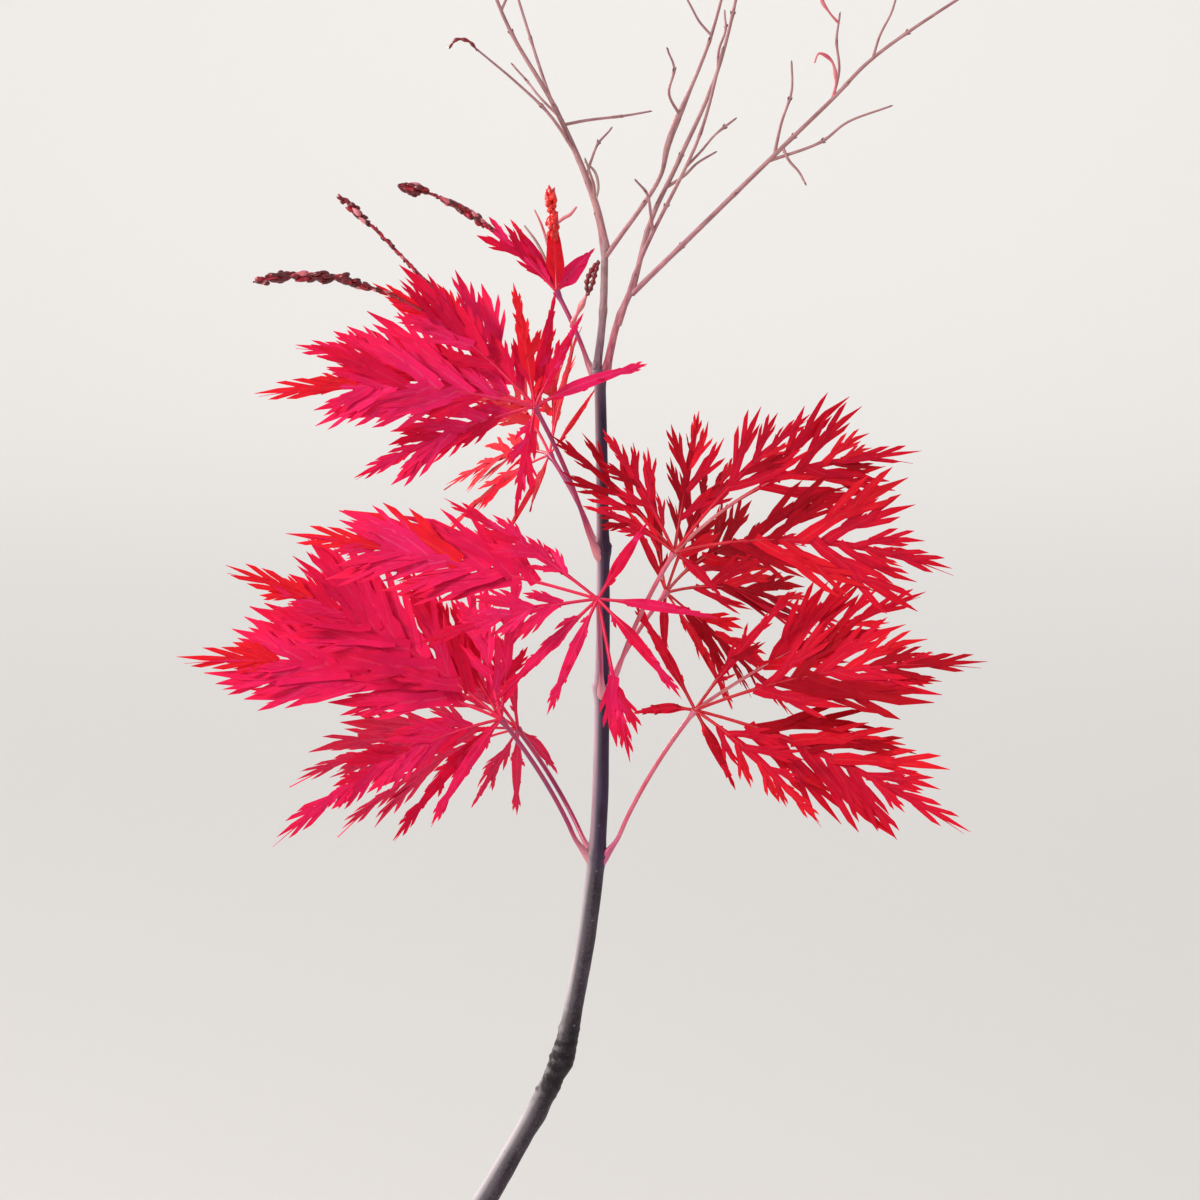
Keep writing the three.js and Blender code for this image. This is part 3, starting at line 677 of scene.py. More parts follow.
def maple_bark(wood):
    """Young maple bark: grey-brown and finely speckled on the old wood, and above the first leaves smooth
    blue-purple. Faint streaks run along the limb, a few pale pores dot it, and dark rings mark the bud-scale
    scars. The left side has a painted highlight, paler towards its edge, that stands in for the light from
    the left."""
    material, tree = new_material("maple_bark", Roughness=0.5, Specular_IOR_Level=0.22)
    place = add_node(tree, "TexCoord", output="Object")
    height = add_node(tree, "SeparateXYZ", [place], "Z")
    grain = add_node(tree, "Attribute", output="Vector", attribute_name="grain")
    streaks = drawn_streaks(tree, grain, 0.16, 1.1, 6)
    patches = add_node(tree, "TexNoise", {"Vector": grain, "Scale": scale_of(6.5), "Detail": 5})
    pores = add_node(tree, "TexVoronoi", {"Vector": grain, "Scale": scale_of(4.6)})
    pore = add_node(tree, "MapRange", [pores, 0.1, 0.05])
    specks = add_node(tree, "TexNoise", {"Vector": grain, "Scale": scale_of(0.4), "Detail": 2})
    speck = add_node(tree, "MapRange", [specks, 0.52, 0.7, 0, 0.3])
    mottle = add_node(tree, "MapRange", [patches, 0.36, 0.64])
    fine = add_node(tree, "MapRange", [streaks, 0.32, 0.6, 0.4, 1])
    old = add_node(tree, "Mix", {0: mottle, 6: "332a33", 7: wood.bark_colour}, **COLOURS)
    old = add_node(tree, "Mix", {0: fine, 6: "261f27", 7: old}, **COLOURS)
    old = add_node(tree, "Mix", {0: speck, 6: old, 7: "85777f"}, **COLOURS)
    shoot = add_node(tree, "Mix", {0: mottle, 6: wood.shoot_colour, 7: "443052"}, **COLOURS)
    shoot = add_node(tree, "Mix", {0: fine, 6: "26192c", 7: shoot}, **COLOURS)
    ragged = add_node(tree, "Math", [patches, SHOOT_RAGGED * MM], operation="MULTIPLY")
    level = add_node(tree, "Math", [height, ragged], operation="ADD")
    upper = add_node(tree, "MapRange", [level, *metres(*SHOOT_RISE)])
    colour = add_node(tree, "Mix", {0: upper, 6: old, 7: shoot}, **COLOURS)
    # A painted highlight down the stem's left side, found from the way round the limb: a broad paler grey,
    # and a pale strip at the edge, fainter low on the stem
    flat = add_node(tree, "Mapping", {"Vector": grain, "Scale": (1, 1, 0)})
    way = add_node(tree, "VectorMath", [flat], operation="NORMALIZE")
    side = add_node(tree, "SeparateXYZ", [way], "X")
    painted_side_light = add_node(tree, "MapRange", [side, 0.15, -0.75, 0, 0.5])
    edge = add_node(tree, "MapRange", {0: upper, 3: -0.48, 4: -0.3})
    bloom = add_node(tree, "MapRange", [side, edge, -0.94])
    fade = add_node(tree, "MapRange", [height, *metres(*PAINTED_HIGHLIGHT_RISE), 0.3 * wood.bloom, wood.bloom])
    bloom = add_node(tree, "Math", [bloom, fade], operation="MULTIPLY")
    # The painted highlight's colours: grey-pink on the old wood and lilac-pink on the shoot
    pale = add_node(tree, "Mix", {0: upper, 6: "d4cbd0", 7: "d8b6c6"}, **COLOURS)
    # Dark rings where the bud scales were, fading out above and below
    squat = add_node(tree, "Mapping", {"Vector": grain, "Scale": (0.7, 0.7, 1)})
    ring = add_node(tree, "TexNoise", {"Vector": squat, "Scale": scale_of(1.6), "Detail": 3})
    ring = add_node(tree, "MapRange", [ring, 0.4, 0.58, 0.62, 1])
    scar = add_node(tree, "MapRange", [height, *metres(*SCAR_RISE)])
    fall = add_node(tree, "MapRange", [height, *metres(*SCAR_FALL)])
    for share in (fall, ring, 0.94):
        scar = add_node(tree, "Math", [scar, share], operation="MULTIPLY")
    # The newest wood, at the fork, is tan with a purple blush
    top = add_node(tree, "MapRange", [height, *metres(*FORK_RISE)])
    faint = add_node(tree, "Math", [pore, 0.4], operation="MULTIPLY")
    # The painted highlight's two layers go on first, then the scars, the fork's tan and the pores
    coats = [(painted_side_light, "8f8b92"), (bloom, pale), (scar, "150e12"), (top, "8a7480"), (faint, "8f7f86")]
    for share, coat in coats:
        colour = add_node(tree, "Mix", {0: share, 6: colour, 7: coat}, **COLOURS)
    relief = add_node(tree, "Math", [streaks, pore], operation="ADD")
    return finished(material, colour, relief, 0.5, 0.12)


def twig_bark(name, foot_colour, tip_colour, *rise):
    """Last season's bare twig: smooth thin bark that turns from the foot's colour to dry tan between two
    heights, with short lengthwise streaks and a faint gloss."""
    material, tree = new_material(name, Roughness=0.48, Specular_IOR_Level=0.4)
    place = add_node(tree, "TexCoord", output="Object")
    height = add_node(tree, "SeparateXYZ", [place], "Z")
    grain = add_node(tree, "Attribute", output="Vector", attribute_name="grain")
    streaks = drawn_streaks(tree, grain, 0.2, 0.6, 4)
    patches = add_node(tree, "TexNoise", {"Vector": grain, "Scale": scale_of(7), "Detail": 3})
    fine = add_node(tree, "MapRange", [streaks, 0.38, 0.66, 0, 0.4])
    turn = add_node(tree, "MapRange", [height, *metres(*rise)])
    patch = add_node(tree, "MapRange", [patches, 0.42, 0.68, 0, 0.55])
    colour = foot_colour
    for share, coat in ((turn, tip_colour), (patch, "6c4248"), (fine, "d8acaa")):
        colour = add_node(tree, "Mix", {0: share, 6: colour, 7: coat}, **COLOURS)
    return finished(material, colour, streaks, 0.4, 0.06)


def leaf_skin(name, colour, rib_colour, tip_colour, roughness=0.68):
    """A thin autumn maple leaf: one clear tint that light soaks into, faintly mottled, with a paler vein
    down the middle of each leaflet, a warmer point and a fine net of small veins in low relief."""
    material, tree = new_material(
        name, Roughness=roughness, Specular_IOR_Level=0.1, Subsurface_Weight=0.12,
        Subsurface_Scale=0.9 * MM, Subsurface_Radius=(1, 0.12, 0.12),
    )
    place = add_node(tree, "TexCoord", output="Object")
    grain = add_node(tree, "Attribute", output="Vector", attribute_name="grain")
    across = add_node(tree, "SeparateXYZ", [grain], "X")
    along = across.node.outputs["Y"]
    mottle = add_node(tree, "TexNoise", {"Vector": place, "Scale": scale_of(7), "Detail": 4})
    edges = {"feature": "DISTANCE_TO_EDGE"}
    net = add_node(tree, "TexVoronoi", {"Vector": place, "Scale": scale_of(0.7)}, **edges)
    shade = add_node(tree, "MapRange", [mottle, 0.4, 0.7, 0, 0.5])
    darker = [0.68 * value for value in colour]
    point = add_node(tree, "MapRange", [along, 0.35, 1, 0, 0.6])
    vein = add_node(tree, "MapRange", [across, 0.8, 1, 0, 0.28])
    for share, coat in ((shade, darker), (point, tip_colour), (vein, rib_colour)):
        colour = add_node(tree, "Mix", {0: share, 6: colour, 7: coat}, **COLOURS)
    return finished(material, colour, net, 0.3, 0.08)


def stalk_skin(name, colour, second, roughness=0.38, foot=None):
    """A leaf stalk, rib or bud scale: smooth living skin with a soft gloss, blushed in long patches. A leaf
    stalk's foot, where it clasps the stem, turns to a second colour."""
    material, tree = new_material(name, Roughness=roughness, Coat_Weight=0.2, Coat_Roughness=0.25)
    grain = add_node(tree, "Attribute", output="Vector", attribute_name="grain")
    blush = drawn_streaks(tree, grain, 0.3, 2.2, 4)
    spread = add_node(tree, "MapRange", [blush, 0.36, 0.64])
    colour = add_node(tree, "Mix", {0: spread, 6: colour, 7: second}, **COLOURS)
    if foot:
        along = add_node(tree, "SeparateXYZ", [grain], "Z")
        near = add_node(tree, "MapRange", [along, *metres(*STALK_FOOT), 0, 0.8])
        colour = add_node(tree, "Mix", {0: near, 6: colour, 7: foot}, **COLOURS)
    return finished(material, colour, blush, 0.25, 0.05)


def pot_radius(height):
    """Radius of the pot's outside at a height below its rim band."""
    return POT_FOOT_RADIUS + (POT_TOP_RADIUS - RIM_STANDOUT - POT_FOOT_RADIUS) / RIM_FOOT * height


def round_corners(outline, reach, steps=7):
    """An open outline with each inner corner cut by a curve: the quadratic from a reach before it, pulled
    to the corner, to a reach after it."""
    outline = np.asarray(outline, float)
    corner = outline[1:-1]
    start = corner + unit(outline[:-2] - corner) * reach
    end = corner + unit(outline[2:] - corner) * reach
    t = np.linspace(0, 1, steps)[None, :, None]
    cut = (1 - t) ** 2 * start[:, None] + 2 * t * (1 - t) * corner[:, None] + t**2 * end[:, None]
    return np.vstack([outline[:1], cut.reshape(-1, 2), outline[-1:]])


def turned(profile, columns, relief=None, surface=None):
    """A shape turned about the Z axis from a profile of (radius, height): corner k of a ring lies at r cos
    a, r sin a, where r is the profile's radius less the relief there. What reaches the mix's top takes its
    height from a surface."""
    radius, height = profile[:, :1], profile[:, 1:]
    angle = circle(columns)[None]
    if relief:
        radius = radius - relief(angle, height)
    x, y = radius * np.cos(angle), radius * np.sin(angle)
    height = height + 0 * angle
    if surface:
        height = np.where(height >= SOIL_TOP, surface(x, y), height)
    return sleeves(np.stack([x, y, height], axis=-1)[None])


def pot_relief(angle, height):
    """Faint throwing lines, a sine of the height, and a hand-made unevenness."""
    lines = THROW_DEPTH * (1 + np.sin(TAU * height / THROW_PITCH + 0.5 * np.sin(angle)))
    dents = DENT_DEPTH * (1 + rumple(angle / TAU * 14, height / 16, 3, around=14))
    return lines + dents


def pot_shape():
    """The pot turned from its profile, with extra points so that none is further than its grain from the
    next."""
    outline = round_corners(
        [
            [1, 0],
            [POT_FOOT_RADIUS, 0],
            [pot_radius(RIM_FOOT), RIM_FOOT],
            [POT_TOP_RADIUS - RIM_DRAFT, RIM_FOOT + RIM_DRAFT],
            [POT_TOP_RADIUS, POT_HEIGHT],
            [POT_TOP_RADIUS - POT_WALL, POT_HEIGHT],
            [pot_radius(RIM_FOOT) - POT_WALL, RIM_FOOT],
            [pot_radius(POT_FLOOR) - POT_WALL, POT_FLOOR],
            [1, POT_FLOOR],
        ],
        POT_EDGE / 2,
    )
    run = lengths_along(outline)
    places = np.union1d(run, np.arange(0, run[-1], POT_GRAIN))
    return turned(read_off(places, run, outline), POT_COLUMNS, relief=pot_relief)


def drill_drains(piece):
    """Cuts the drain holes through the pot's floor, with upright cylinders as cutters."""
    angle = circle(DRAIN_HOLES) + math.pi / 2
    middles = DRAIN_RING * np.stack([np.cos(angle), np.sin(angle)], axis=-1)
    turn = circle(DRAIN_SIDES)
    round_hole = DRAIN_RADIUS * np.stack([np.cos(turn), np.sin(turn)], axis=-1)
    plan = np.broadcast_to((middles[:, None] + round_hole)[:, None], (DRAIN_HOLES, 2, DRAIN_SIDES, 2))
    levels = np.array([-POT_FLOOR, 2.0 * POT_FLOOR])[None, :, None, None]
    heights = np.broadcast_to(levels, (DRAIN_HOLES, 2, DRAIN_SIDES, 1))
    cutters = sleeves(np.concatenate([plan, heights], axis=-1))
    faces = [[corner for corner in face if corner >= 0] for face in cutters.faces.tolist()]
    mesh = bpy.data.meshes.new("drain_cutters")
    mesh.from_pydata((cutters.corners * MM).tolist(), [], faces)
    drills = add_object("drain_cutters", mesh)
    cut = piece.modifiers.new("drains", "BOOLEAN")
    cut.operation = "DIFFERENCE"
    cut.solver = "MANIFOLD"
    cut.object = drills
    shown = piece.evaluated_get(bpy.context.evaluated_depsgraph_get())
    drilled = bpy.data.meshes.new_from_object(shown)
    piece.modifiers.clear()
    piece.data = drilled
    drilled.set_sharp_from_angle(angle=math.radians(SHARP_ANGLE))
    bpy.data.objects.remove(drills)


def soil_height(x, y):
    """Height of the potting mix: gently uneven, mounded round the stem and a little lower at the wall."""
    far = np.hypot(x, y)
    uneven = sum(high * rumple(x / size + 40, y / size + 40, seed) for size, high, seed in SOIL_LUMPS)
    mound = MOUND_HEIGHT * hump(far, MOUND_REACH)
    return SOIL_TOP - SOIL_SETTLE + uneven + mound - DIP_DEPTH * smooth_step(far, *DIP_RANGE)


def soil_shape():
    """The potting mix as a plug: up the pot's inner wall, then inwards in rings over the uneven top."""
    outer = pot_radius(RIM_FOOT) - POT_WALL
    low = [[1, POT_FLOOR + CLEAR], [pot_radius(POT_FLOOR) - POT_WALL - SOIL_CLEAR, POT_FLOOR + CLEAR]]
    wall = [[outer - SOIL_CLEAR, RIM_FOOT], [outer, SOIL_TOP - 3]]
    top = [[radius, SOIL_TOP] for radius in np.linspace(outer, 1, SOIL_RINGS)]
    return turned(np.array(low + wall + top), SOIL_COLUMNS, surface=soil_height)


def scattered(count, seed, longest, flatness, sink, finishes):
    """Rough lumps strewn on the potting mix. Each is a box of two rings of four corners, along a random and
    nearly level way, with every corner moved by a seeded share of the lump's size."""
    random = np.random.default_rng(seed)
    far = LITTER_REACH * np.sqrt(random.uniform(0.012, 1, count))
    angle = random.uniform(0, TAU, count)
    middle = np.stack([far * np.cos(angle), far * np.sin(angle)], axis=-1)
    middle = np.column_stack([middle, soil_height(middle[:, 0], middle[:, 1]) + sink])
    turn = random.uniform(0, TAU, count)
    ahead = unit(np.stack([np.cos(turn), np.sin(turn), random.uniform(-0.35, 0.35, count)], axis=-1))
    across = unit(np.cross(ahead + 0.01, random.normal([0, 0, 1], 0.28, (count, 3))))
    up = np.cross(ahead, across)
    length = longest * random.uniform(0.35, 1, count) ** 1.4
    breadth = length * random.uniform(0.35, 0.7, count)
    height = length * flatness * random.uniform(0.6, 1.3, count)
    along = np.array([-0.5, 0.5])[None, :, None] * random.uniform(0.6, 1.1, (count, 2, 4))
    turns = TAU * (np.arange(4) + 0.5) / 4
    level = np.cos(turns)[None, None] * random.uniform(0.4, 0.8, (count, 2, 4))
    rise = np.sin(turns)[None, None] * random.uniform(0.4, 0.8, (count, 2, 4))
    rings = middle[:, None, None]
    for share, size, way in ((along, length, ahead), (level, breadth, across), (rise, height, up)):
        rings = rings + (share * size[:, None, None])[..., None] * way[:, None, None]
    return sleeves(rings, random.integers(0, finishes, count))


def stem_radius(height, angle):
    """Radius of the stem: its taper, a swelling at each node, and the root flare with its ridges."""
    taper = np.interp(height, *np.transpose(STEM_RADII))
    swell = sum(NODE_SWELL * hump(height - node, NODE_REACH) for node in NODE_HEIGHTS)
    flare = FLARE_RADIUS * np.exp(-(height - SOIL_TOP) / FLARE_HEIGHT)
    return taper + swell + flare * (1 + ROOT_RIDGE_DEPTH * np.cos(ROOT_RIDGES * angle))


def bark_relief(height, angle, along, depth):
    """How far the bark stands out: long furrows and lumps on the old wood, rings of bud-scale scars where
    the shoot begins, knobs, and a raised rim over each node."""
    turns = angle / TAU
    old = 1 - smooth_step(height, *OLD_WOOD)
    furrows = rumple(turns * 15, along / 5.5, 11, around=15)
    furrows = furrows + 0.6 * rumple(turns * 26, along / 2.1, 12, around=26)
    lumps = rumple(turns * 4, along / 9, 13, around=4)
    relief = depth * (0.35 * furrows * old + 0.7 * lumps * (0.35 + 0.65 * old))
    for ring in range(SCAR_RINGS):
        middle = SCAR_LOW + (SCAR_HIGH - SCAR_LOW) * (ring + 0.3 * wobble(31, ring)) / (SCAR_RINGS - 1)
        tilted = height - middle - 0.5 * np.sin(angle + 2 * ring)
        uneven = 0.7 + 0.5 * rumple(turns * 7, np.full_like(height, float(ring)), 14, around=7)
        relief = relief + uneven * (0.09 * hump(tilted, 0.38) - 0.07 * hump(tilted - 0.8, 0.4))
    for middle, side, reach, out in KNOBS:
        aside = np.angle(np.exp(1j * (angle - side))) * KNOB_RADIUS
        relief = relief + out * np.exp(-(((height - middle) ** 2 + aside**2) / reach**2))
    for node in NODE_HEIGHTS:
        rim = height - node - 0.9 * np.cos(2 * angle)
        relief = relief + 0.22 * hump(rim, 0.42) - 0.12 * hump(rim - 1, 0.5)
    return relief


def stem_shape(depth):
    """The stem as one tube with the bark's relief. Its foot goes a little into the soil, and its top is
    domed."""
    points = smooth_curve(STEM_LINE, np.linspace(0, 1, STEM_RINGS))
    points = np.vstack([points, points[-1] + np.array(DOME_RISE)[:, None] * np.array([0, 0, 1.0])])
    points[0, 2] -= STEM_SINK
    angle = circle(STEM_COLUMNS)[None]
    height = points[:, 2:] + 0 * angle
    along = lengths_along(points)[:, None] + 0 * angle
    radius = stem_radius(height, angle) + bark_relief(height, angle, along, depth)
    radius[-3:] *= np.array(DOME_SHARE)[:, None]
    return tube(points, radius, STEM_COLUMNS)


def bough_shape(foot, tip, line):
    """A bough as one tapering tube that swells into the fork, with its foot let into the stem's top."""
    points = smooth_curve(line, np.linspace(0, 1, LIMB_RINGS))
    along = lengths_along(points)[:, None]
    turns = circle(BOUGH_COLUMNS)[None] / TAU
    radius = foot + (tip - foot) * along / along[-1] + 0.5 * np.exp(-along / 1.6)
    radius = radius + 0.05 * rumple(turns * 5, along / 3, 15, around=5) + 0.16 * hump(along - BOUGH_NODE, 1.2)
    points[0] -= np.array([0, 0, BOUGH_SINK])
    return tube(points, radius, BOUGH_COLUMNS)


def sprig_line(root, reach, seed):
    """A sprig's line from its root in the twig's middle: its bends by the seeded rule, then its tip."""
    sway = SPRIG_SWAY * np.linalg.norm(reach)
    bends = [
        root + reach * share + sway * np.array([wobble(seed, 2 * k + 1), wobble(seed, 2 * k + 2), 0])
        for k, share in enumerate(SPRIG_BENDS)
    ]
    return np.array([root, *bends, root + reach])


def twig_tube(line, foot, tip, seed, swelling=None, sink=0.0):
    """A bare twig: a tapering tube that kinks and thickens at each node, where its buds sit. Returns the
    tube, and where its buds stand and point."""
    length = lengths_along(smooth_curve(line, np.linspace(0, 1, LIMB_RINGS)))[-1]
    rings = int(length / TWIG_RING) + 2
    shares = np.linspace(0, 1, rings)
    points = smooth_curve(line, shares)
    along = shares * length
    nodes = np.arange(TWIG_NODE_GAP * 0.7, length - 3, TWIG_NODE_GAP * (1 + 0.1 * wobble(seed, 3)))
    kinks = wobble(seed, np.arange(len(nodes) + 2))
    sway = TWIG_KINK * np.interp(along, [0, *nodes, length], kinks)
    ahead, across, up = ways_along(points, np.array([0.6, 0.75, 0.1]))
    fade = (np.sin(math.pi * shares) ** 0.5)[:, None]
    points = points + sway[:, None] * across * fade
    radius = foot + (tip - foot) * shares
    radius = radius + sum(TWIG_NODE_SWELL * hump(along - node, TWIG_NODE_REACH) for node in nodes)
    if swelling:
        low, high, out = swelling
        middle = (points[:, 2] - (low + high) / 2) / (high - low) * 2
        radius = radius + out * np.exp(-(middle**4))
    points[0] -= ahead[0] * sink
    buds = []
    for number, node in enumerate([*nodes, length]):
        at = int(np.argmin(abs(along - node)))
        turn = BUD_TURN * number + seed
        aside = across[at] * math.cos(turn) + up[at] * math.sin(turn)
        if number == len(nodes):
            buds.append((points[at] - 0.4 * ahead[at], ahead[at]))
            continue
        for way in (1, -1):
            root = points[at] + way * aside * radius[at] * 0.5
            buds.append((root, unit(ahead[at] + way * BUD_SPLAY * aside)))
    hint = (0.0, 1.0, 0.0) if abs(unit(points[-1] - points[0])[0]) > 0.7 else (1.0, 0.0, 0.0)
    return tube(points, radius[:, None], TWIG_COLUMNS, hint=hint), buds


def bud_shapes(roots, ways, length, radius, finish=0):
    """Pointed buds, many at once. Ring j of a bud lies at length times j's share along its way, and has the
    radius times (sin(pi s^0.7))^0.8, so it is widest below its middle."""
    roots, ways = np.array(roots), np.array(ways)
    shares = np.array([0.03, 0.2, 0.4, 0.62, 0.83, 0.97])
    hint = np.where(abs(ways[:, :1]) > 0.8, [[0.0, 1.0, 0.0]], [[1.0, 0.0, 0.0]])
    across = unit(np.cross(ways, hint))
    up = np.cross(ways, across)
    angle = circle(BUD_SIDES)
    size = np.broadcast_to(radius, len(roots))[:, None] * np.sin(math.pi * shares**0.7) ** 0.8
    run = np.broadcast_to(length, len(roots))[:, None] * shares
    ring = np.cos(angle)[None, :, None] * across[:, None] + np.sin(angle)[None, :, None] * up[:, None]
    middles = roots[:, None] + run[..., None] * ways[:, None]
    return sleeves(middles[:, :, None] + size[..., None, None] * ring[:, None], finish)


def twig_mass(twig):
    """One mass of bare twigs: its main twig, its sprigs by the seeded rule, and the buds on them all."""
    swelling = CENTRE_SWELLING if twig.name == "twigs_centre" else None
    main, buds = twig_tube(twig.line, twig.foot, TWIG_TIP, twig.seed, swelling, TWIG_SINK)
    wood = [main]
    for k, (share, *reach) in enumerate(twig.sprigs):
        seed = twig.seed + 7 * k
        root = smooth_curve(twig.line, [share])[0]
        thickness = twig.foot + (TWIG_TIP - twig.foot) * share
        line = sprig_line(root, np.array(reach, float), seed)
        sprig, more = twig_tube(line, min(SPRIG_FOOT, SPRIG_TO_TWIG * thickness), SPRIG_TIP, seed)
        wood.append(sprig)
        buds += more
    return join(wood), buds


def in_plane(face, angle):
    """The way in a leaf's plane that has this angle: level times its cosine plus rise times its sine."""
    level = unit(np.array([-face[1], face[0], 0.0]))
    rise = np.cross(face, level)
    turn = math.radians(angle)
    return level * math.cos(turn) + rise * math.sin(turn)


def lobe_path(leaf, k, t):
    """A lobe's middle line at shares t of its length: straight out from the junction, bowed up in the
    leaf's plane by bow t(1-t) and lifted out of it by lift t(1-0.6t). Returns points and the ways ahead,
    across and up."""
    angle, length, *own_arch = leaf["lobes"][k]
    arch = own_arch[0] if own_arch else leaf["arch"]
    face = unit(np.array(leaf["facing"], float))
    rise = in_plane(face, 90)
    out = in_plane(face, angle) * length
    bow = 4 * arch * abs(math.cos(math.radians(angle))) * length
    lift = LOBE_LIFT[k % 2] * length
    t = np.asarray(t, float)[:, None]
    points = np.array(leaf["junction"]) + out * t + rise * bow * t * (1 - t)
    points = points + face * lift * t * (1 - LOBE_SETTLE * t)
    ahead = unit(out + rise * bow * (1 - 2 * t) + face * lift * (1 - 2 * LOBE_SETTLE * t))
    across = unit(np.cross(face, ahead))
    return points, ahead, across, np.cross(ahead, across)


def toothed_rows(teeth):
    """The rows of a toothed leaflet: shares along it, the width there as a share of the smooth outline, and
    how far the edges are drawn forward, as a share of the length."""
    step = (TEETH_END - TEETH_START) / teeth
    places = (np.arange(teeth)[:, None] + np.array(TOOTH_PHASES)).ravel()
    shares = np.concatenate([[-0.02, 0.12], TEETH_START + step * places, [1]])
    widths = np.concatenate([[1, 1], np.tile(TOOTH_WIDTHS, teeth), [1]])
    draws = np.concatenate([[0, 0], step * np.tile(TOOTH_DRAWS, teeth), [0]])
    return shares, widths, draws


def leaflet_outline(share):
    """Half width of a leaflet as a share of its widest: it swells from its foot to a third of its length,
    and then draws to a long point as (1.02 - share)^0.9."""
    share = np.clip(share, 0, 1)
    return 1.42 * (0.6 + 0.4 * smooth_step(share, 0, 0.34)) * (1.02 - share) ** 0.9


def leaflets(spray, teeth, finish, thickness):
    """Toothed leaflets, many at once. The middle line is root + length (s way + s^2 bend). An edge lies
    across it by the outline times the tooth's width, drawn forward with the tooth, and folded up by a share
    of that width."""
    shares, widths, draws = toothed_rows(teeth)
    s = shares[None, :, None]
    length = spray["length"][:, None, None]
    way, bend = spray["way"][:, None], spray["bend"][:, None]
    centre = spray["root"][:, None] + length * (s * way + s**2 * bend)
    ahead = unit(way + 2 * s * bend)
    across = unit(np.cross(spray["up"][:, None] + s * spray["twist"][:, None], ahead))
    up = np.cross(ahead, across)
    seed = spray["seed"][:, None]
    outline = spray["half"][:, None] * leaflet_outline(shares)
    fold = 0.16 + 0.16 * wobble(seed, 5)
    thick = (thickness * (1 - 0.6 * np.clip(shares, 0, 1)) / 2)[None, :, None]
    edges = []
    drawn = length * draws[None, :, None] * ahead
    for side in (1, -1):
        uneven = 1 + 0.2 * wobble(seed, np.arange(len(shares)) + 40 * side)
        width = (outline * widths * uneven)[..., None]
        edges.append(centre + side * width * across + drawn + fold[..., None] * width * up)
    return lenses(*edges, centre, thick * up, finish, shares)


def side_spray(parent, share, side, spread, reach, seed):
    """The finer leaflets that leave each leaflet at a share of its length, on one side, at a spread to its
    way."""
    way = unit(parent["way"] + 2 * share * parent["bend"])
    across = unit(np.cross(parent["up"] + share * parent["twist"], way))
    length = parent["length"] * reach
    reached = share * parent["way"] + share**2 * parent["bend"]
    return {
        "root": parent["root"] + parent["length"][:, None] * reached,
        "way": unit(way * math.cos(spread) + side * across * math.sin(spread)),
        "bend": 0.16 * way - 0.14 * side * across,
        "up": parent["up"],
        "twist": parent["twist"] * 0,
        "length": length,
        "half": 0.22 + 0.068 * length,
        "seed": parent["seed"] + seed,
    }


def of_lobe(leaf, key, k, usual):
    """What one lobe has of its own under a key of its leaf, or else the usual value."""
    return leaf.get(key, {}).get(k, usual)


def strap_share(leaf, k):
    """1 on a plain lobe or one too short to be cut, and 0 on one long enough to be fully cut."""
    cut = smooth_step(leaf["lobes"][k][1], *leaf.get("strapped", STRAP_LENGTHS))
    return 1 - of_lobe(leaf, "cut_shares", k, cut)


def lobe_spray(leaf, k, seed, gap, cut):
    """The leaflets of one lobe: pairs a gap apart that point forward, longest by the lobe's middle, and one
    at its tip. cut is the share of the lobe's length that the blade reaches."""
    lobe_length = leaf["lobes"][k][1] * cut
    first = of_lobe(leaf, "bares", k, leaf["bare"])
    pairs = max(LEAFLETS_FEWEST, round(lobe_length * (LEAFLET_LAST - first) / gap))
    number = np.arange(2 * pairs + 1)
    side = np.where(number % 2, 1.0, -1.0)
    side[-1] = 0.0
    place = (number // 2 + 0.5 * (number % 2) + 0.2 * wobble(seed, number)) / pairs
    t = np.clip(first + (LEAFLET_LAST - first) * place, 0.1, LEAFLET_LAST)
    t[-1] = LEAFLET_LAST - 0.06
    points, ahead, across, up = lobe_path(leaf, k, t * cut)
    cut_share = 0.3 + 0.7 * (1 - strap_share(leaf, k))
    reach = of_lobe(leaf, "reaches", k, leaf["reach"]) * cut_share
    reach = reach * np.sin(math.pi * t**0.75) ** 0.9 * (1 - 0.6 * smooth_step(t, 0.42, 0.76))
    length = lobe_length * reach * (1 + 0.2 * wobble(seed, number + 50))
    length = np.clip(length, LEAFLET_SHORTEST, None)
    length[-1] = lobe_length * 0.26
    half = leaf["full"] * (0.36 + 0.066 * length)
    half[-1] = 0.6 + 0.02 * length[-1]
    turn = np.radians(leaf["spread"] - 24 * (t - 0.5) + 7 * wobble(seed, number + 90)) * abs(side)
    aside = side[:, None] * across
    tilt = (-0.1 + 0.45 * wobble(seed, number + 130))[:, None]
    droop = (0.08 + 0.14 * wobble(seed, number + 170))[:, None]
    curve = (0.14 + 0.1 * wobble(seed, number + 190))[:, None]
    return {
        "root": points,
        "way": unit(np.cos(turn)[:, None] * ahead + np.sin(turn)[:, None] * aside + 0.5 * droop * up),
        "bend": curve * (ahead - aside) - droop * up,
        "up": up + tilt * aside,
        "twist": (0.5 * wobble(seed, number + 210))[:, None] * across,
        "length": length,
        "half": half,
        "seed": seed + 0.731 * number,
    }


def deal_tints(seed, count, main, flame):
    """A tint for each leaflet: the lobe's own, now and then one of the other two, and the flame-red on its
    share."""
    chance = wobble(seed + 0.5, np.arange(count))
    tints = np.where(chance > 0.5, (main + 1) % 3, np.where(chance < -0.6, (main + 2) % 3, main))
    return np.where(wobble(seed + 0.9, np.arange(count)) < 2 * flame - 1, FLAME, tints)


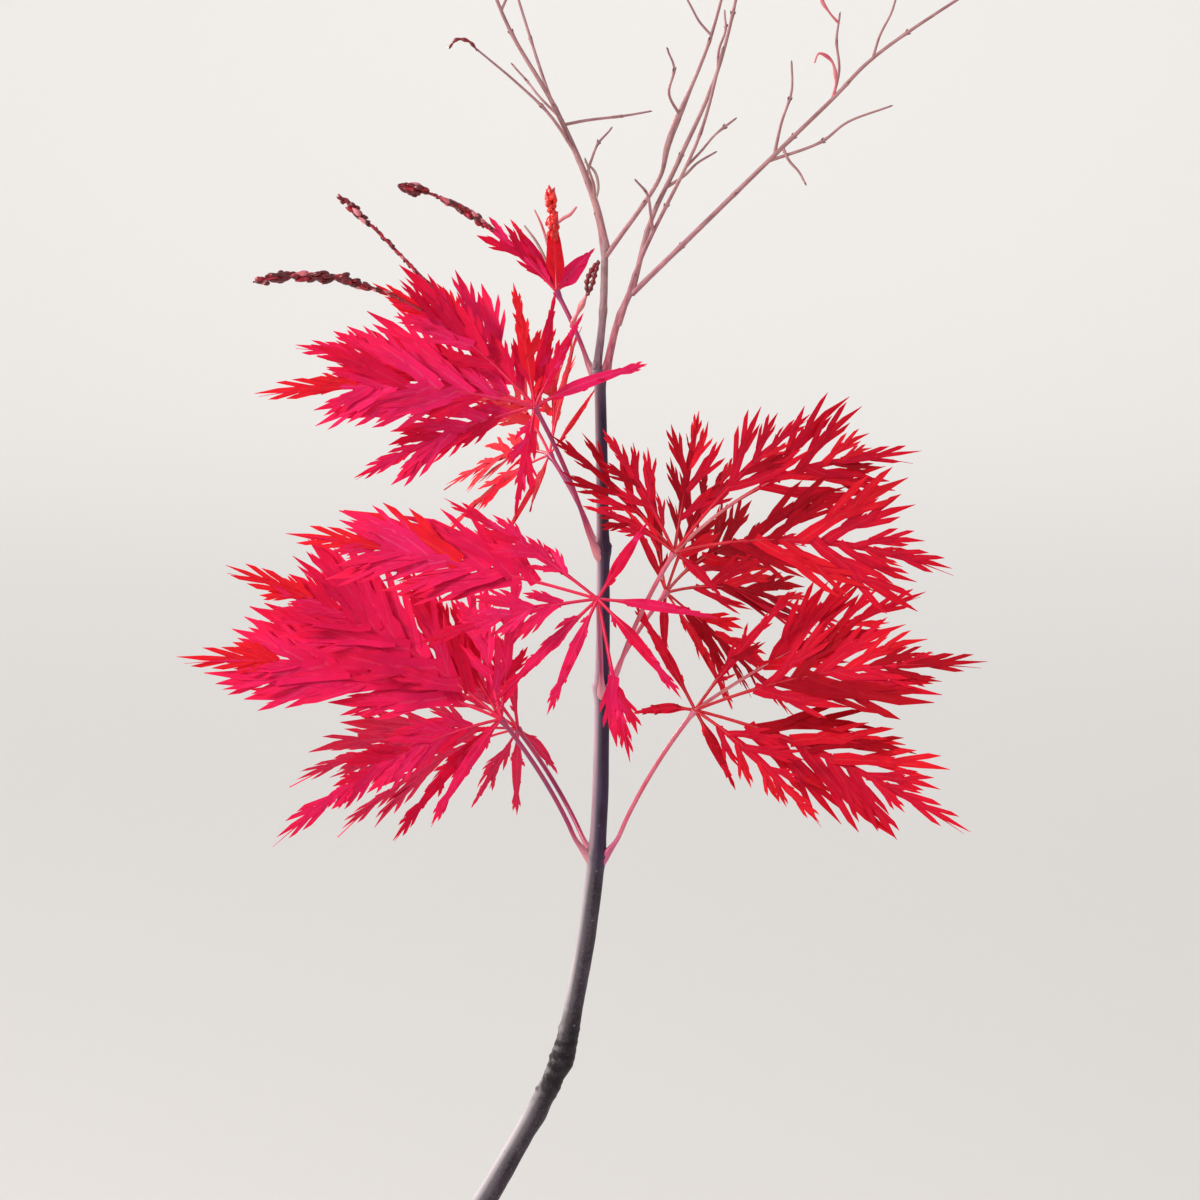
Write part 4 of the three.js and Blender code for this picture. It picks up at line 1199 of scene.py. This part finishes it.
def lobe_blade(leaf, k, seed, leaf_settings, cut):
    """A lobe's blade: a narrow central strip from the junction, its leaflets, and finer ones on the long
    leaflets."""
    thickness = leaf_settings.thickness / MM
    spray = lobe_spray(leaf, k, seed, leaf_settings.leaflet_gap / MM, cut)
    main = 0 if wobble(seed, 7) < 0.2 else (1 if wobble(seed, 8) < 0 else 2)
    main = of_lobe(leaf, "mains", k, main)
    flame = of_lobe(leaf, "flames", k, 0)
    tints = deal_tints(seed, len(spray["length"]), main, flame)
    if k in leaf.get("lit", []):
        tints[-LIT_LEAFLETS:] = FLAME
    shapes = [leaflets(spray, TEETH, tints, thickness)]
    long_ones = spray["length"] > FINER_FROM
    parent = {key: value[long_ones] for key, value in spray.items()}
    if long_ones.any():
        for number, (share, side) in enumerate(FINER[: leaf["finer"]]):
            length = FINER_LENGTH * (1.15 - 0.5 * share)
            finer = side_spray(parent, share, side, math.radians(FINER_SPREAD), length, 3.1 * (number + 1))
            shapes.append(leaflets(finer, 1, tints[long_ones], thickness * 0.8))
    t = np.linspace(0, 0.97, STRAP_ROWS)
    points, _, across, up = lobe_path(leaf, k, t * cut)
    widest = 0.75 + (of_lobe(leaf, "straps", k, leaf["strap"]) - 0.5) * strap_share(leaf, k)
    first = of_lobe(leaf, "bares", k, leaf["bare"])
    half = 0.36 + widest * smooth_step(t, first * 0.7, first + 0.25) * (1.05 - t) ** 0.8
    half = (0.04 + half * (1 - smooth_step(t, 0.6, 1)))[:, None]
    sides = [(points + way * half * across)[None] for way in (1, -1)]
    tint = FLAME if flame > 0.6 else main
    shapes.append(lenses(*sides, points[None], (thickness * 0.6 * up)[None], [tint], 0.3 * t))
    return join(shapes)


def rib_tube(leaf, k, cut):
    """The rib down a lobe's middle: a thin tapering tube that stands a little out of the blade on both
    sides."""
    pale = k in leaf.get("pale", [])
    reach, foot, taper = (0.45, 0.52, 1.2) if pale else (0.62, 0.4, 0.6)
    t = np.linspace(0, reach * cut, RIB_RINGS)
    points, _, _, up = lobe_path(leaf, k, t)
    radius = (foot - (foot - 0.1) * (t / t[-1]) ** taper) * min(1, 0.6 + leaf["lobes"][k][1] / 130)
    finish = 2 if pale else 1
    return tube(points + 0.06 * up, radius[:, None], RIB_SIDES, finish, hint=np.array(leaf["facing"]))


def rolled_tip(leaf, k, seed, start, sizes, crisp):
    """A lobe's withered tip: a thin core and a crumple of lumps along it, as large as the table of sizes
    says. A lump lies askew to the lobe's line and off it by up to its own radius."""
    t = np.linspace(start, 1, LIMB_RINGS)
    points = lobe_path(leaf, k, t)[0]
    core = 0.42 - 0.2 * np.linspace(0, 1, LIMB_RINGS) ** 2
    shapes = [tube(points, core[:, None], ROLL_SIDES, 3 if crisp else 1, hint=np.array(leaf["facing"]))]
    number = np.arange(ROLL_LUMPS)
    share = np.clip((number + 0.5 + 0.4 * wobble(seed, number)) / ROLL_LUMPS, 0, 0.97)
    points, ahead, across, up = lobe_path(leaf, k, start + (1 - start) * share)
    size = ROLL_RADIUS * np.interp(share, *np.transpose(sizes)) * (1 + 0.2 * wobble(seed, number + 90))
    turn = math.pi * wobble(seed, number + 180)
    aside = np.cos(turn)[:, None] * across + np.sin(turn)[:, None] * up
    way = unit(ahead + (0.75 * wobble(seed, number + 270))[:, None] * aside)
    length = 2.6 * size * (1 + 0.3 * wobble(seed, number + 360))
    roots = points + (0.7 * size)[:, None] * aside - 0.5 * length[:, None] * way
    # A lump is dark maroon, red or pale pink, the pink lumps being painted highlights on the dark crumple. A
    # crisp tip's lumps are all orange-red.
    chance = wobble(seed, number + 450)
    finish = np.full(ROLL_LUMPS, 3) if crisp else np.where(chance < 0.15, 0, np.where(chance < 0.62, 1, 2))
    shapes.append(bud_shapes(roots, way, length, 0.62 * size, finish))
    return join(shapes)


def stem_point(height):
    """The middle of the stem at a height."""
    x, y, z = smooth_curve(STEM_LINE, np.linspace(0, 1, 1500)).T
    return np.array([np.interp(height, z, x), np.interp(height, z, y), height])


def petiole_path(leaf):
    """A leaf stalk's line: from inside the stem just under its node, then by the source's quadratic curve
    from beside the node, up and out to the junction."""
    height = NODE_HEIGHTS[leaf["node"]]
    stem = stem_point(height)
    end = np.array(leaf["junction"], float)
    away = end - stem
    away[2] = 0
    run = np.linalg.norm(away)
    away = away / run
    out, up = PETIOLE_OUT * run, PETIOLE_UP * (end[2] - height)
    lean = PETIOLE_RADIUS * up / math.hypot(out, up)
    start = stem + away * (float(stem_radius(height, 0.0)) + lean + CLEAR)
    bend = start + away * out + np.array([0, 0, up])
    t = np.array([0.12, 0.24, 0.4, 0.6, 0.8, 1])[:, None]
    line = (1 - t) ** 2 * start + 2 * t * (1 - t) * bend + t**2 * end
    clasp = [stem + away * far - np.array([0, 0, down]) for far, down in PETIOLE_CLASP]
    return smooth_curve(np.vstack([clasp, line]), np.linspace(0, 1, PETIOLE_RINGS))


def petiole_shape(leaf):
    """A leaf stalk: slim, thickened where it clasps the stem and again where its lobes meet."""
    points = petiole_path(leaf)
    along = lengths_along(points)
    foot = (0.55 + 0.65 * hump(along - 4, 3.4)) * (0.35 + 0.65 * smooth_step(along, 0, 3.5))
    radius = foot + 0.42 * hump(along - along[-1], 1.5)
    return tube(points, radius[:, None], PETIOLE_COLUMNS, 0, hint=(0.2, -1.0, 0.1))


def curl_shape(finish, size, beads, line, number):
    """A dried curl: a tube along a smooth curve through its points, thin at both ends and beaded
    between."""
    share = np.linspace(0, 1, LIMB_RINGS)
    bead = 0.75 + 0.25 * np.sin(TAU * beads * share + number) if beads else 1 + 0 * share
    radius = 0.08 + size * np.sin(math.pi * (0.12 + 0.8 * share)) ** 0.6 * bead
    return tube(smooth_curve(line, share), radius[:, None], CURL_SIDES, finish, hint=(0.1, 1.0, 0.05))


def colour_setting(name, description, usual):
    """A colour that a user may change."""
    return FloatVectorProperty(
        name=name, description=description, subtype="COLOR", default=linear(usual), min=0, max=1
    )


class PotSettings(bpy.types.PropertyGroup):
    """What a user may change on the pot and its potting mix."""

    clay_colour: colour_setting("Clay colour", "Colour of the fired clay where it is dry", "b06c50")
    lime: FloatProperty(
        name="Lime bloom", description="How much chalky lime has dried on the clay", subtype="FACTOR",
        default=0.62, min=0, max=1,
    )
    chips: IntProperty(
        name="Bark chips", description="Bark chips on the potting mix", default=620, min=0, max=3000
    )
    grit: IntProperty(
        name="Grit", description="Grains of grit and pumice on the mix", default=520, min=0, max=3000
    )


class WoodSettings(bpy.types.PropertyGroup):
    """What a user may change on the stem, the boughs and the twigs."""

    bark_colour: colour_setting("Bark colour", "Light parts of the old wood's bark", "4d424c")
    shoot_colour: colour_setting("Shoot colour", "Bark of the young shoot under its bloom", "38263f")
    # Bloom is a painted highlight: how pale the stem's left side is painted, standing in for the light from
    # the left
    bloom: FloatProperty(
        name="Bloom", description="How pale the weather side of the stem is", subtype="FACTOR",
        default=0.8, min=0, max=1,
    )
    bark_depth: FloatProperty(
        name="Bark relief", description="Depth of the furrows in the old wood", unit="LENGTH",
        default=0.2 * MM, min=0, max=1 * MM,
    )


class LeafSettings(bpy.types.PropertyGroup):
    """What a user may change on the leaves."""

    crimson: colour_setting("Crimson", "Main tint of the leaves on the left", "f41c5c")
    scarlet: colour_setting("Scarlet", "Main tint of the leaves on the right", "e21236")
    leaflet_gap: FloatProperty(
        name="Leaflet spacing", description="Distance between pairs of leaflets along a lobe", unit="LENGTH",
        default=6.2 * MM, min=2 * MM, max=20 * MM,
    )
    thickness: FloatProperty(
        name="Leaflet thickness", description="Thickness of a leaflet at its middle", unit="LENGTH",
        default=LEAFLET_THICKNESS * MM, min=0.1 * MM, max=1 * MM,
    )


class StageSettings(bpy.types.PropertyGroup):
    """What a user may change on the stage."""

    key_power: FloatProperty(
        name="Key light", description="Power of the light from the left", unit="POWER",
        default=24, min=0, max=500,
    )
    lens: FloatProperty(
        name="Lens", description="Focal length of the camera", unit="CAMERA", default=115, min=20, max=300
    )
    floor_colour: colour_setting("Floor colour", "Colour of the floor and the sweep behind it", "e9e6e2")


class PLANT_OT_pot(bpy.types.Operator):
    """Makes the terracotta pot with its drain holes"""

    bl_idname = "plant.make_pot"
    bl_label = "Pot"

    def execute(self, context):
        clay = terracotta(context.scene.plant_pot)
        piece = make_piece("terracotta_pot", pot_shape(), [clay], ["pot"])
        drill_drains(piece)
        return {"FINISHED"}


class PLANT_OT_soil(bpy.types.Operator):
    """Makes the potting mix with its bark chips and grit"""

    bl_idname = "plant.make_soil"
    bl_label = "Potting mix"

    def execute(self, context):
        settings = context.scene.plant_pot
        mix = grainy("potting_mix", "2e221b", "4a382c", mark=2.4, roughness=1.0, depth=0.8)
        make_piece("potting_mix", soil_shape(), [mix], ["soil"])
        barks = [
            grainy("bark_chip_dark", "3b2418", "5a3824", 2.2),
            grainy("bark_chip_red", "6b3d26", "8a563a", 2.2),
            grainy("bark_chip_grey", "6f6259", "4a4038", 2.2),
        ]
        chips = scattered(settings.chips, seed=7, longest=9.5, flatness=0.22, sink=0.5, finishes=len(barks))
        make_piece("bark_chips", chips, barks, ["soil"], sharp=20)
        stones = [
            grainy("pumice_grit", "cfc6b8", "a89c8c", 0.8),
            grainy("brown_grit", "7a6450", "94795f", 0.8),
        ]
        grit = scattered(settings.grit, seed=8, longest=2.6, flatness=0.6, sink=0.5, finishes=len(stones))
        make_piece("grit", grit, stones, ["soil"], sharp=20)
        return {"FINISHED"}


class PLANT_OT_stem(bpy.types.Operator):
    """Makes the stem and its two boughs with the bark's relief"""

    bl_idname = "plant.make_stem"
    bl_label = "Stem and boughs"

    def execute(self, context):
        settings = context.scene.plant_wood
        bark = maple_bark(settings)
        make_piece("stem_bark", stem_shape(settings.bark_depth / MM), [bark], ["stem"], sharp=70)
        finishes = {
            "bough_leader": twig_bark("leader_bark", "62506e", "9c7c84", 418, 434),
            "bough_right": twig_bark("right_bough_bark", "b43860", "b07078", 420, 440),
        }
        for name, *form in BOUGHS:
            make_piece(name + "_bark", bough_shape(*form), [finishes[name]], [name], sharp=70)
        return {"FINISHED"}


class PLANT_OT_twigs(bpy.types.Operator):
    """Makes the six masses of bare twigs, their buds and the dried curls caught in them"""

    bl_idname = "plant.make_twigs"
    bl_label = "Bare twigs"

    def execute(self, context):
        bark = twig_bark("bare_twig_bark", "b0687a", "ac787c", 436, 462)
        scale = stalk_skin("bud_scale", "6c3a3e", "8e4a4c")
        names = [twig.name for twig in TWIGS]
        buds = []
        for twig in TWIGS:
            wood, more = twig_mass(twig)
            make_piece(twig.name + "_wood", wood, [bark], [twig.name], sharp=70)
            buds += more
        buds = bud_shapes(*zip(*buds), BUD_LENGTH, BUD_RADIUS)
        make_piece("buds", buds, [scale], names, sharp=60)
        dried = [
            stalk_skin("dried_leaf_maroon", "5a0814", "a01a2c", 0.3),
            stalk_skin("dried_stalk_tan", "a58078", "c8a498", 0.5),
            stalk_skin("dried_leaf_pink", "d85468", "e89a9c", 0.4),
        ]
        curls = join([curl_shape(*curl, number) for number, curl in enumerate(CURLS)])
        make_piece("dried_curls", curls, dried, names, sharp=60)
        return {"FINISHED"}


class PLANT_OT_leaves(bpy.types.Operator):
    """Makes the nine leaves: their toothed blades, their stalks and ribs, and the rolled tips"""

    bl_idname = "plant.make_leaves"
    bl_label = "Leaves"

    def execute(self, context):
        settings = context.scene.plant_leaf
        blades = {
            "crimson": [
                leaf_skin("leaf_crimson", settings.crimson, "ff5078", "fa1a3c"),
                leaf_skin("leaf_rose", linear("ff2268"), "ff6a90", "ff2048"),
                leaf_skin("leaf_cherry", linear("ea1044"), "f03c60", "ea1230"),
                leaf_skin("leaf_crimson_underside", linear("ea2858"), "f26a8a", "ea3858", 0.7),
                leaf_skin("leaf_flame", linear("f2182e"), "ff5050", "f62630"),
            ],
            "scarlet": [
                leaf_skin("leaf_scarlet", settings.scarlet, "f44850", "f01424"),
                leaf_skin("leaf_vermilion", linear("f61832"), "fc5a5c", "fa2428"),
                leaf_skin("leaf_ruby", linear("b60820"), "c8283c", "bc0a18"),
                leaf_skin("leaf_scarlet_underside", linear("d42038"), "e45a64", "da2c38", 0.7),
            ],
        }
        stalks = {
            "crimson": [
                stalk_skin("stalk_purple", "c8245e", "92306c", foot="eaa0aa"),
                stalk_skin("rib_rose", "fa2a60", "e0103e"),
                stalk_skin("rib_pale_rose", "f07890", "e03058"),
            ],
            "scarlet": [
                stalk_skin("stalk_pink", "e07890", "c8405c", foot="d45c92"),
                stalk_skin("rib_scarlet", "ee2c3c", "c81024"),
                stalk_skin("rib_pale", "f0989c", "dc5a68"),
            ],
        }
        withered = [
            stalk_skin("withered_maroon", "4e0410", "7c0c1c", 0.28),
            stalk_skin("withered_red", "8c0a1c", "c0203a", 0.3),
            # The pale pink finish is a painted highlight, dealt to some of the lumps on a withered tip
            stalk_skin("withered_painted_highlight", "e08890", "c04456", 0.35),
            stalk_skin("crisp_orange_red", "f42c1c", "d4101c", 0.4),
        ]
        for number, leaf in enumerate(LEAVES):
            name, tint = leaf["name"], leaf["tint"]
            seed = 100 * (number + 1)
            rolled = leaf.get("withered", {})
            lobes = range(len(leaf["lobes"]))
            cuts = [ROLL_BLADE if k in rolled else of_lobe(leaf, "cuts", k, 1.0) for k in lobes]
            blade = join([lobe_blade(leaf, k, seed + 11.3 * k, settings, cut) for k, cut in enumerate(cuts)])
            make_piece(name + "_blade", blade, blades[leaf.get("skin", tint)], [name], sharp=50)
            ribs = [rib_tube(leaf, k, cut) for k, cut in enumerate(cuts)]
            stalk = join([petiole_shape(leaf), *ribs])
            make_piece(name + "_stalk", stalk, stalks[tint], [name], sharp=70)
            if rolled:
                tips = [
                    rolled_tip(leaf, k, seed + k, start, sizes, crisp)
                    for key, start, crisp in (("withered", ROLL_START, False), ("crisp", CRISP_START, True))
                    for k, sizes in leaf.get(key, {}).items()
                ]
                make_piece(name + "_rolled_tips", join(tips), withered, [name], sharp=60)
        return {"FINISHED"}


class PLANT_OT_stage(bpy.types.Operator):
    """Makes the floor with its round sweep, the lights and the camera"""

    bl_idname = "plant.make_stage"
    bl_label = "Stage"

    # In metres: where each light stands and what it is aimed at (the plant if None), its size, its share of
    # the key's power, and its colour. The rim light is a narrow spot, which lights the plant's left edges
    # and not the sweep.
    lights = [
        ("key_light", "AREA", (-1.6, -0.7, 1.25), None, 0.4, 1.25, "fff8f0"),
        ("fill_light", "AREA", (1.5, -1.2, 0.8), None, 1.4, 0.12, "f4f6ff"),
        ("sweep_light", "AREA", (0.0, 5.0, 4.0), (0.0, 5.0, 0.0), 4.0, 4.0, "ffffff"),
        ("rim_light", "SPOT", (-1.3, 1.35, 0.95), None, 0.1, 2.8, "fffaf4"),
    ]
    rim_cone = 32
    rim_blend = 0.8
    air_strength = 0.64
    # The floor in metres: how far it is flat, and the radius of the quarter circle that it then sweeps up
    # in
    flat_reach = 4
    sweep_radius = 5
    columns = 96
    # The middle of the photo's view, and where its camera stands from there, in millimetres
    target = (55, 0, 364)
    camera_distance = 900
    camera_elevation = 8
    # In metres: the nearest and the furthest that the camera shows
    camera_clip = (0.05, 60)

    def execute(self, context):
        settings = context.scene.plant_stage
        self.make_floor(settings)
        target = Vector(self.target) * MM
        for name, kind, place, aim, size, share, colour in self.lights:
            light = bpy.data.lights.new(name, kind)
            if kind == "SPOT":
                light.spot_size = math.radians(self.rim_cone)
                light.spot_blend = self.rim_blend
                light.shadow_soft_size = size
            else:
                light.size = size
            light.energy = settings.key_power * share
            light.color = linear(colour)
            lamp = add_object(name, light)
            lamp.location = place
            way = (Vector(aim) if aim else target) - Vector(place)
            lamp.rotation_euler = way.to_track_quat("-Z", "Y").to_euler()
            lamp.visible_camera = False
        world = bpy.data.worlds.new("studio_air")
        world.use_nodes = True
        background = world.node_tree.nodes["Background"]
        background.inputs["Color"].default_value = (*linear("f4f5f8"), 1)
        background.inputs["Strength"].default_value = self.air_strength
        context.scene.world = world
        camera = bpy.data.cameras.new("photo_camera")
        camera.lens = settings.lens
        camera.clip_start, camera.clip_end = self.camera_clip
        holder = add_object("photo_camera", camera)
        tilt = math.radians(self.camera_elevation)
        back = Vector((0, -math.cos(tilt), math.sin(tilt)))
        holder.location = target + back * self.camera_distance * MM
        holder.rotation_euler = (-back).to_track_quat("-Z", "Y").to_euler()
        context.scene.camera = holder
        context.scene.view_settings.view_transform = "Standard"
        return {"FINISHED"}

    def make_floor(self, settings):
        """A flat floor that sweeps up all round in a quarter circle, so it has no edge in view."""
        rise = np.linspace(0, math.pi / 2, 24)
        sweep = [self.flat_reach + self.sweep_radius * np.sin(rise), self.sweep_radius * (1 - np.cos(rise))]
        profile = np.vstack([[[0.02, 0], [1, 0]], np.stack(sweep, axis=-1)])
        angle = circle(self.columns)[None]
        radius, height = profile[:, :1], profile[:, 1:]
        rings = np.stack([radius * np.cos(angle), -radius * np.sin(angle), height + 0 * angle], axis=-1)
        faces = ring_faces(len(profile), self.columns).tolist()
        faces.append(list(range(self.columns - 1, -1, -1)))
        mesh = bpy.data.meshes.new("studio_floor")
        mesh.from_pydata(rings.reshape(-1, 3).tolist(), [], faces)
        mesh.shade_smooth()
        paint, _ = new_material("painted_sweep", Roughness=0.95, Base_Color=(*settings.floor_colour, 1))
        mesh.materials.append(paint)
        floor = add_object("studio_floor", mesh)


class PLANT_PT_panel(bpy.types.Panel):
    """Lists the pieces and their settings in the sidebar"""

    bl_label = "Laceleaf maple"
    bl_idname = "PLANT_PT_panel"
    bl_space_type = "VIEW_3D"
    bl_region_type = "UI"
    bl_category = "Laceleaf maple"

    def draw(self, context):
        for name, settings in SETTINGS.items():
            box = self.layout.box()
            for key in settings.__annotations__:
                box.prop(getattr(context.scene, name), key)
        for operator in OPERATORS:
            self.layout.operator(operator.bl_idname)


SETTINGS = {
    "plant_pot": PotSettings,
    "plant_wood": WoodSettings,
    "plant_leaf": LeafSettings,
    "plant_stage": StageSettings,
}
OPERATORS = [PLANT_OT_pot, PLANT_OT_soil, PLANT_OT_stem, PLANT_OT_twigs, PLANT_OT_leaves, PLANT_OT_stage]


def register():
    """Registers every class, and puts each group of settings on the scene."""
    for cls in [*SETTINGS.values(), *OPERATORS, PLANT_PT_panel]:
        bpy.utils.register_class(cls)
    for name, settings in SETTINGS.items():
        setattr(bpy.types.Scene, name, PointerProperty(type=settings))


def unregister():
    """Takes away what register put in place."""
    for name in SETTINGS:
        delattr(bpy.types.Scene, name)
    for cls in reversed([*SETTINGS.values(), *OPERATORS, PLANT_PT_panel]):
        bpy.utils.unregister_class(cls)


def main():
    """Makes every piece in order."""
    register()
    bpy.ops.plant.make_pot()
    bpy.ops.plant.make_soil()
    bpy.ops.plant.make_stem()
    bpy.ops.plant.make_twigs()
    bpy.ops.plant.make_leaves()
    bpy.ops.plant.make_stage()
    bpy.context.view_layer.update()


if __name__ == "__main__":
    main()
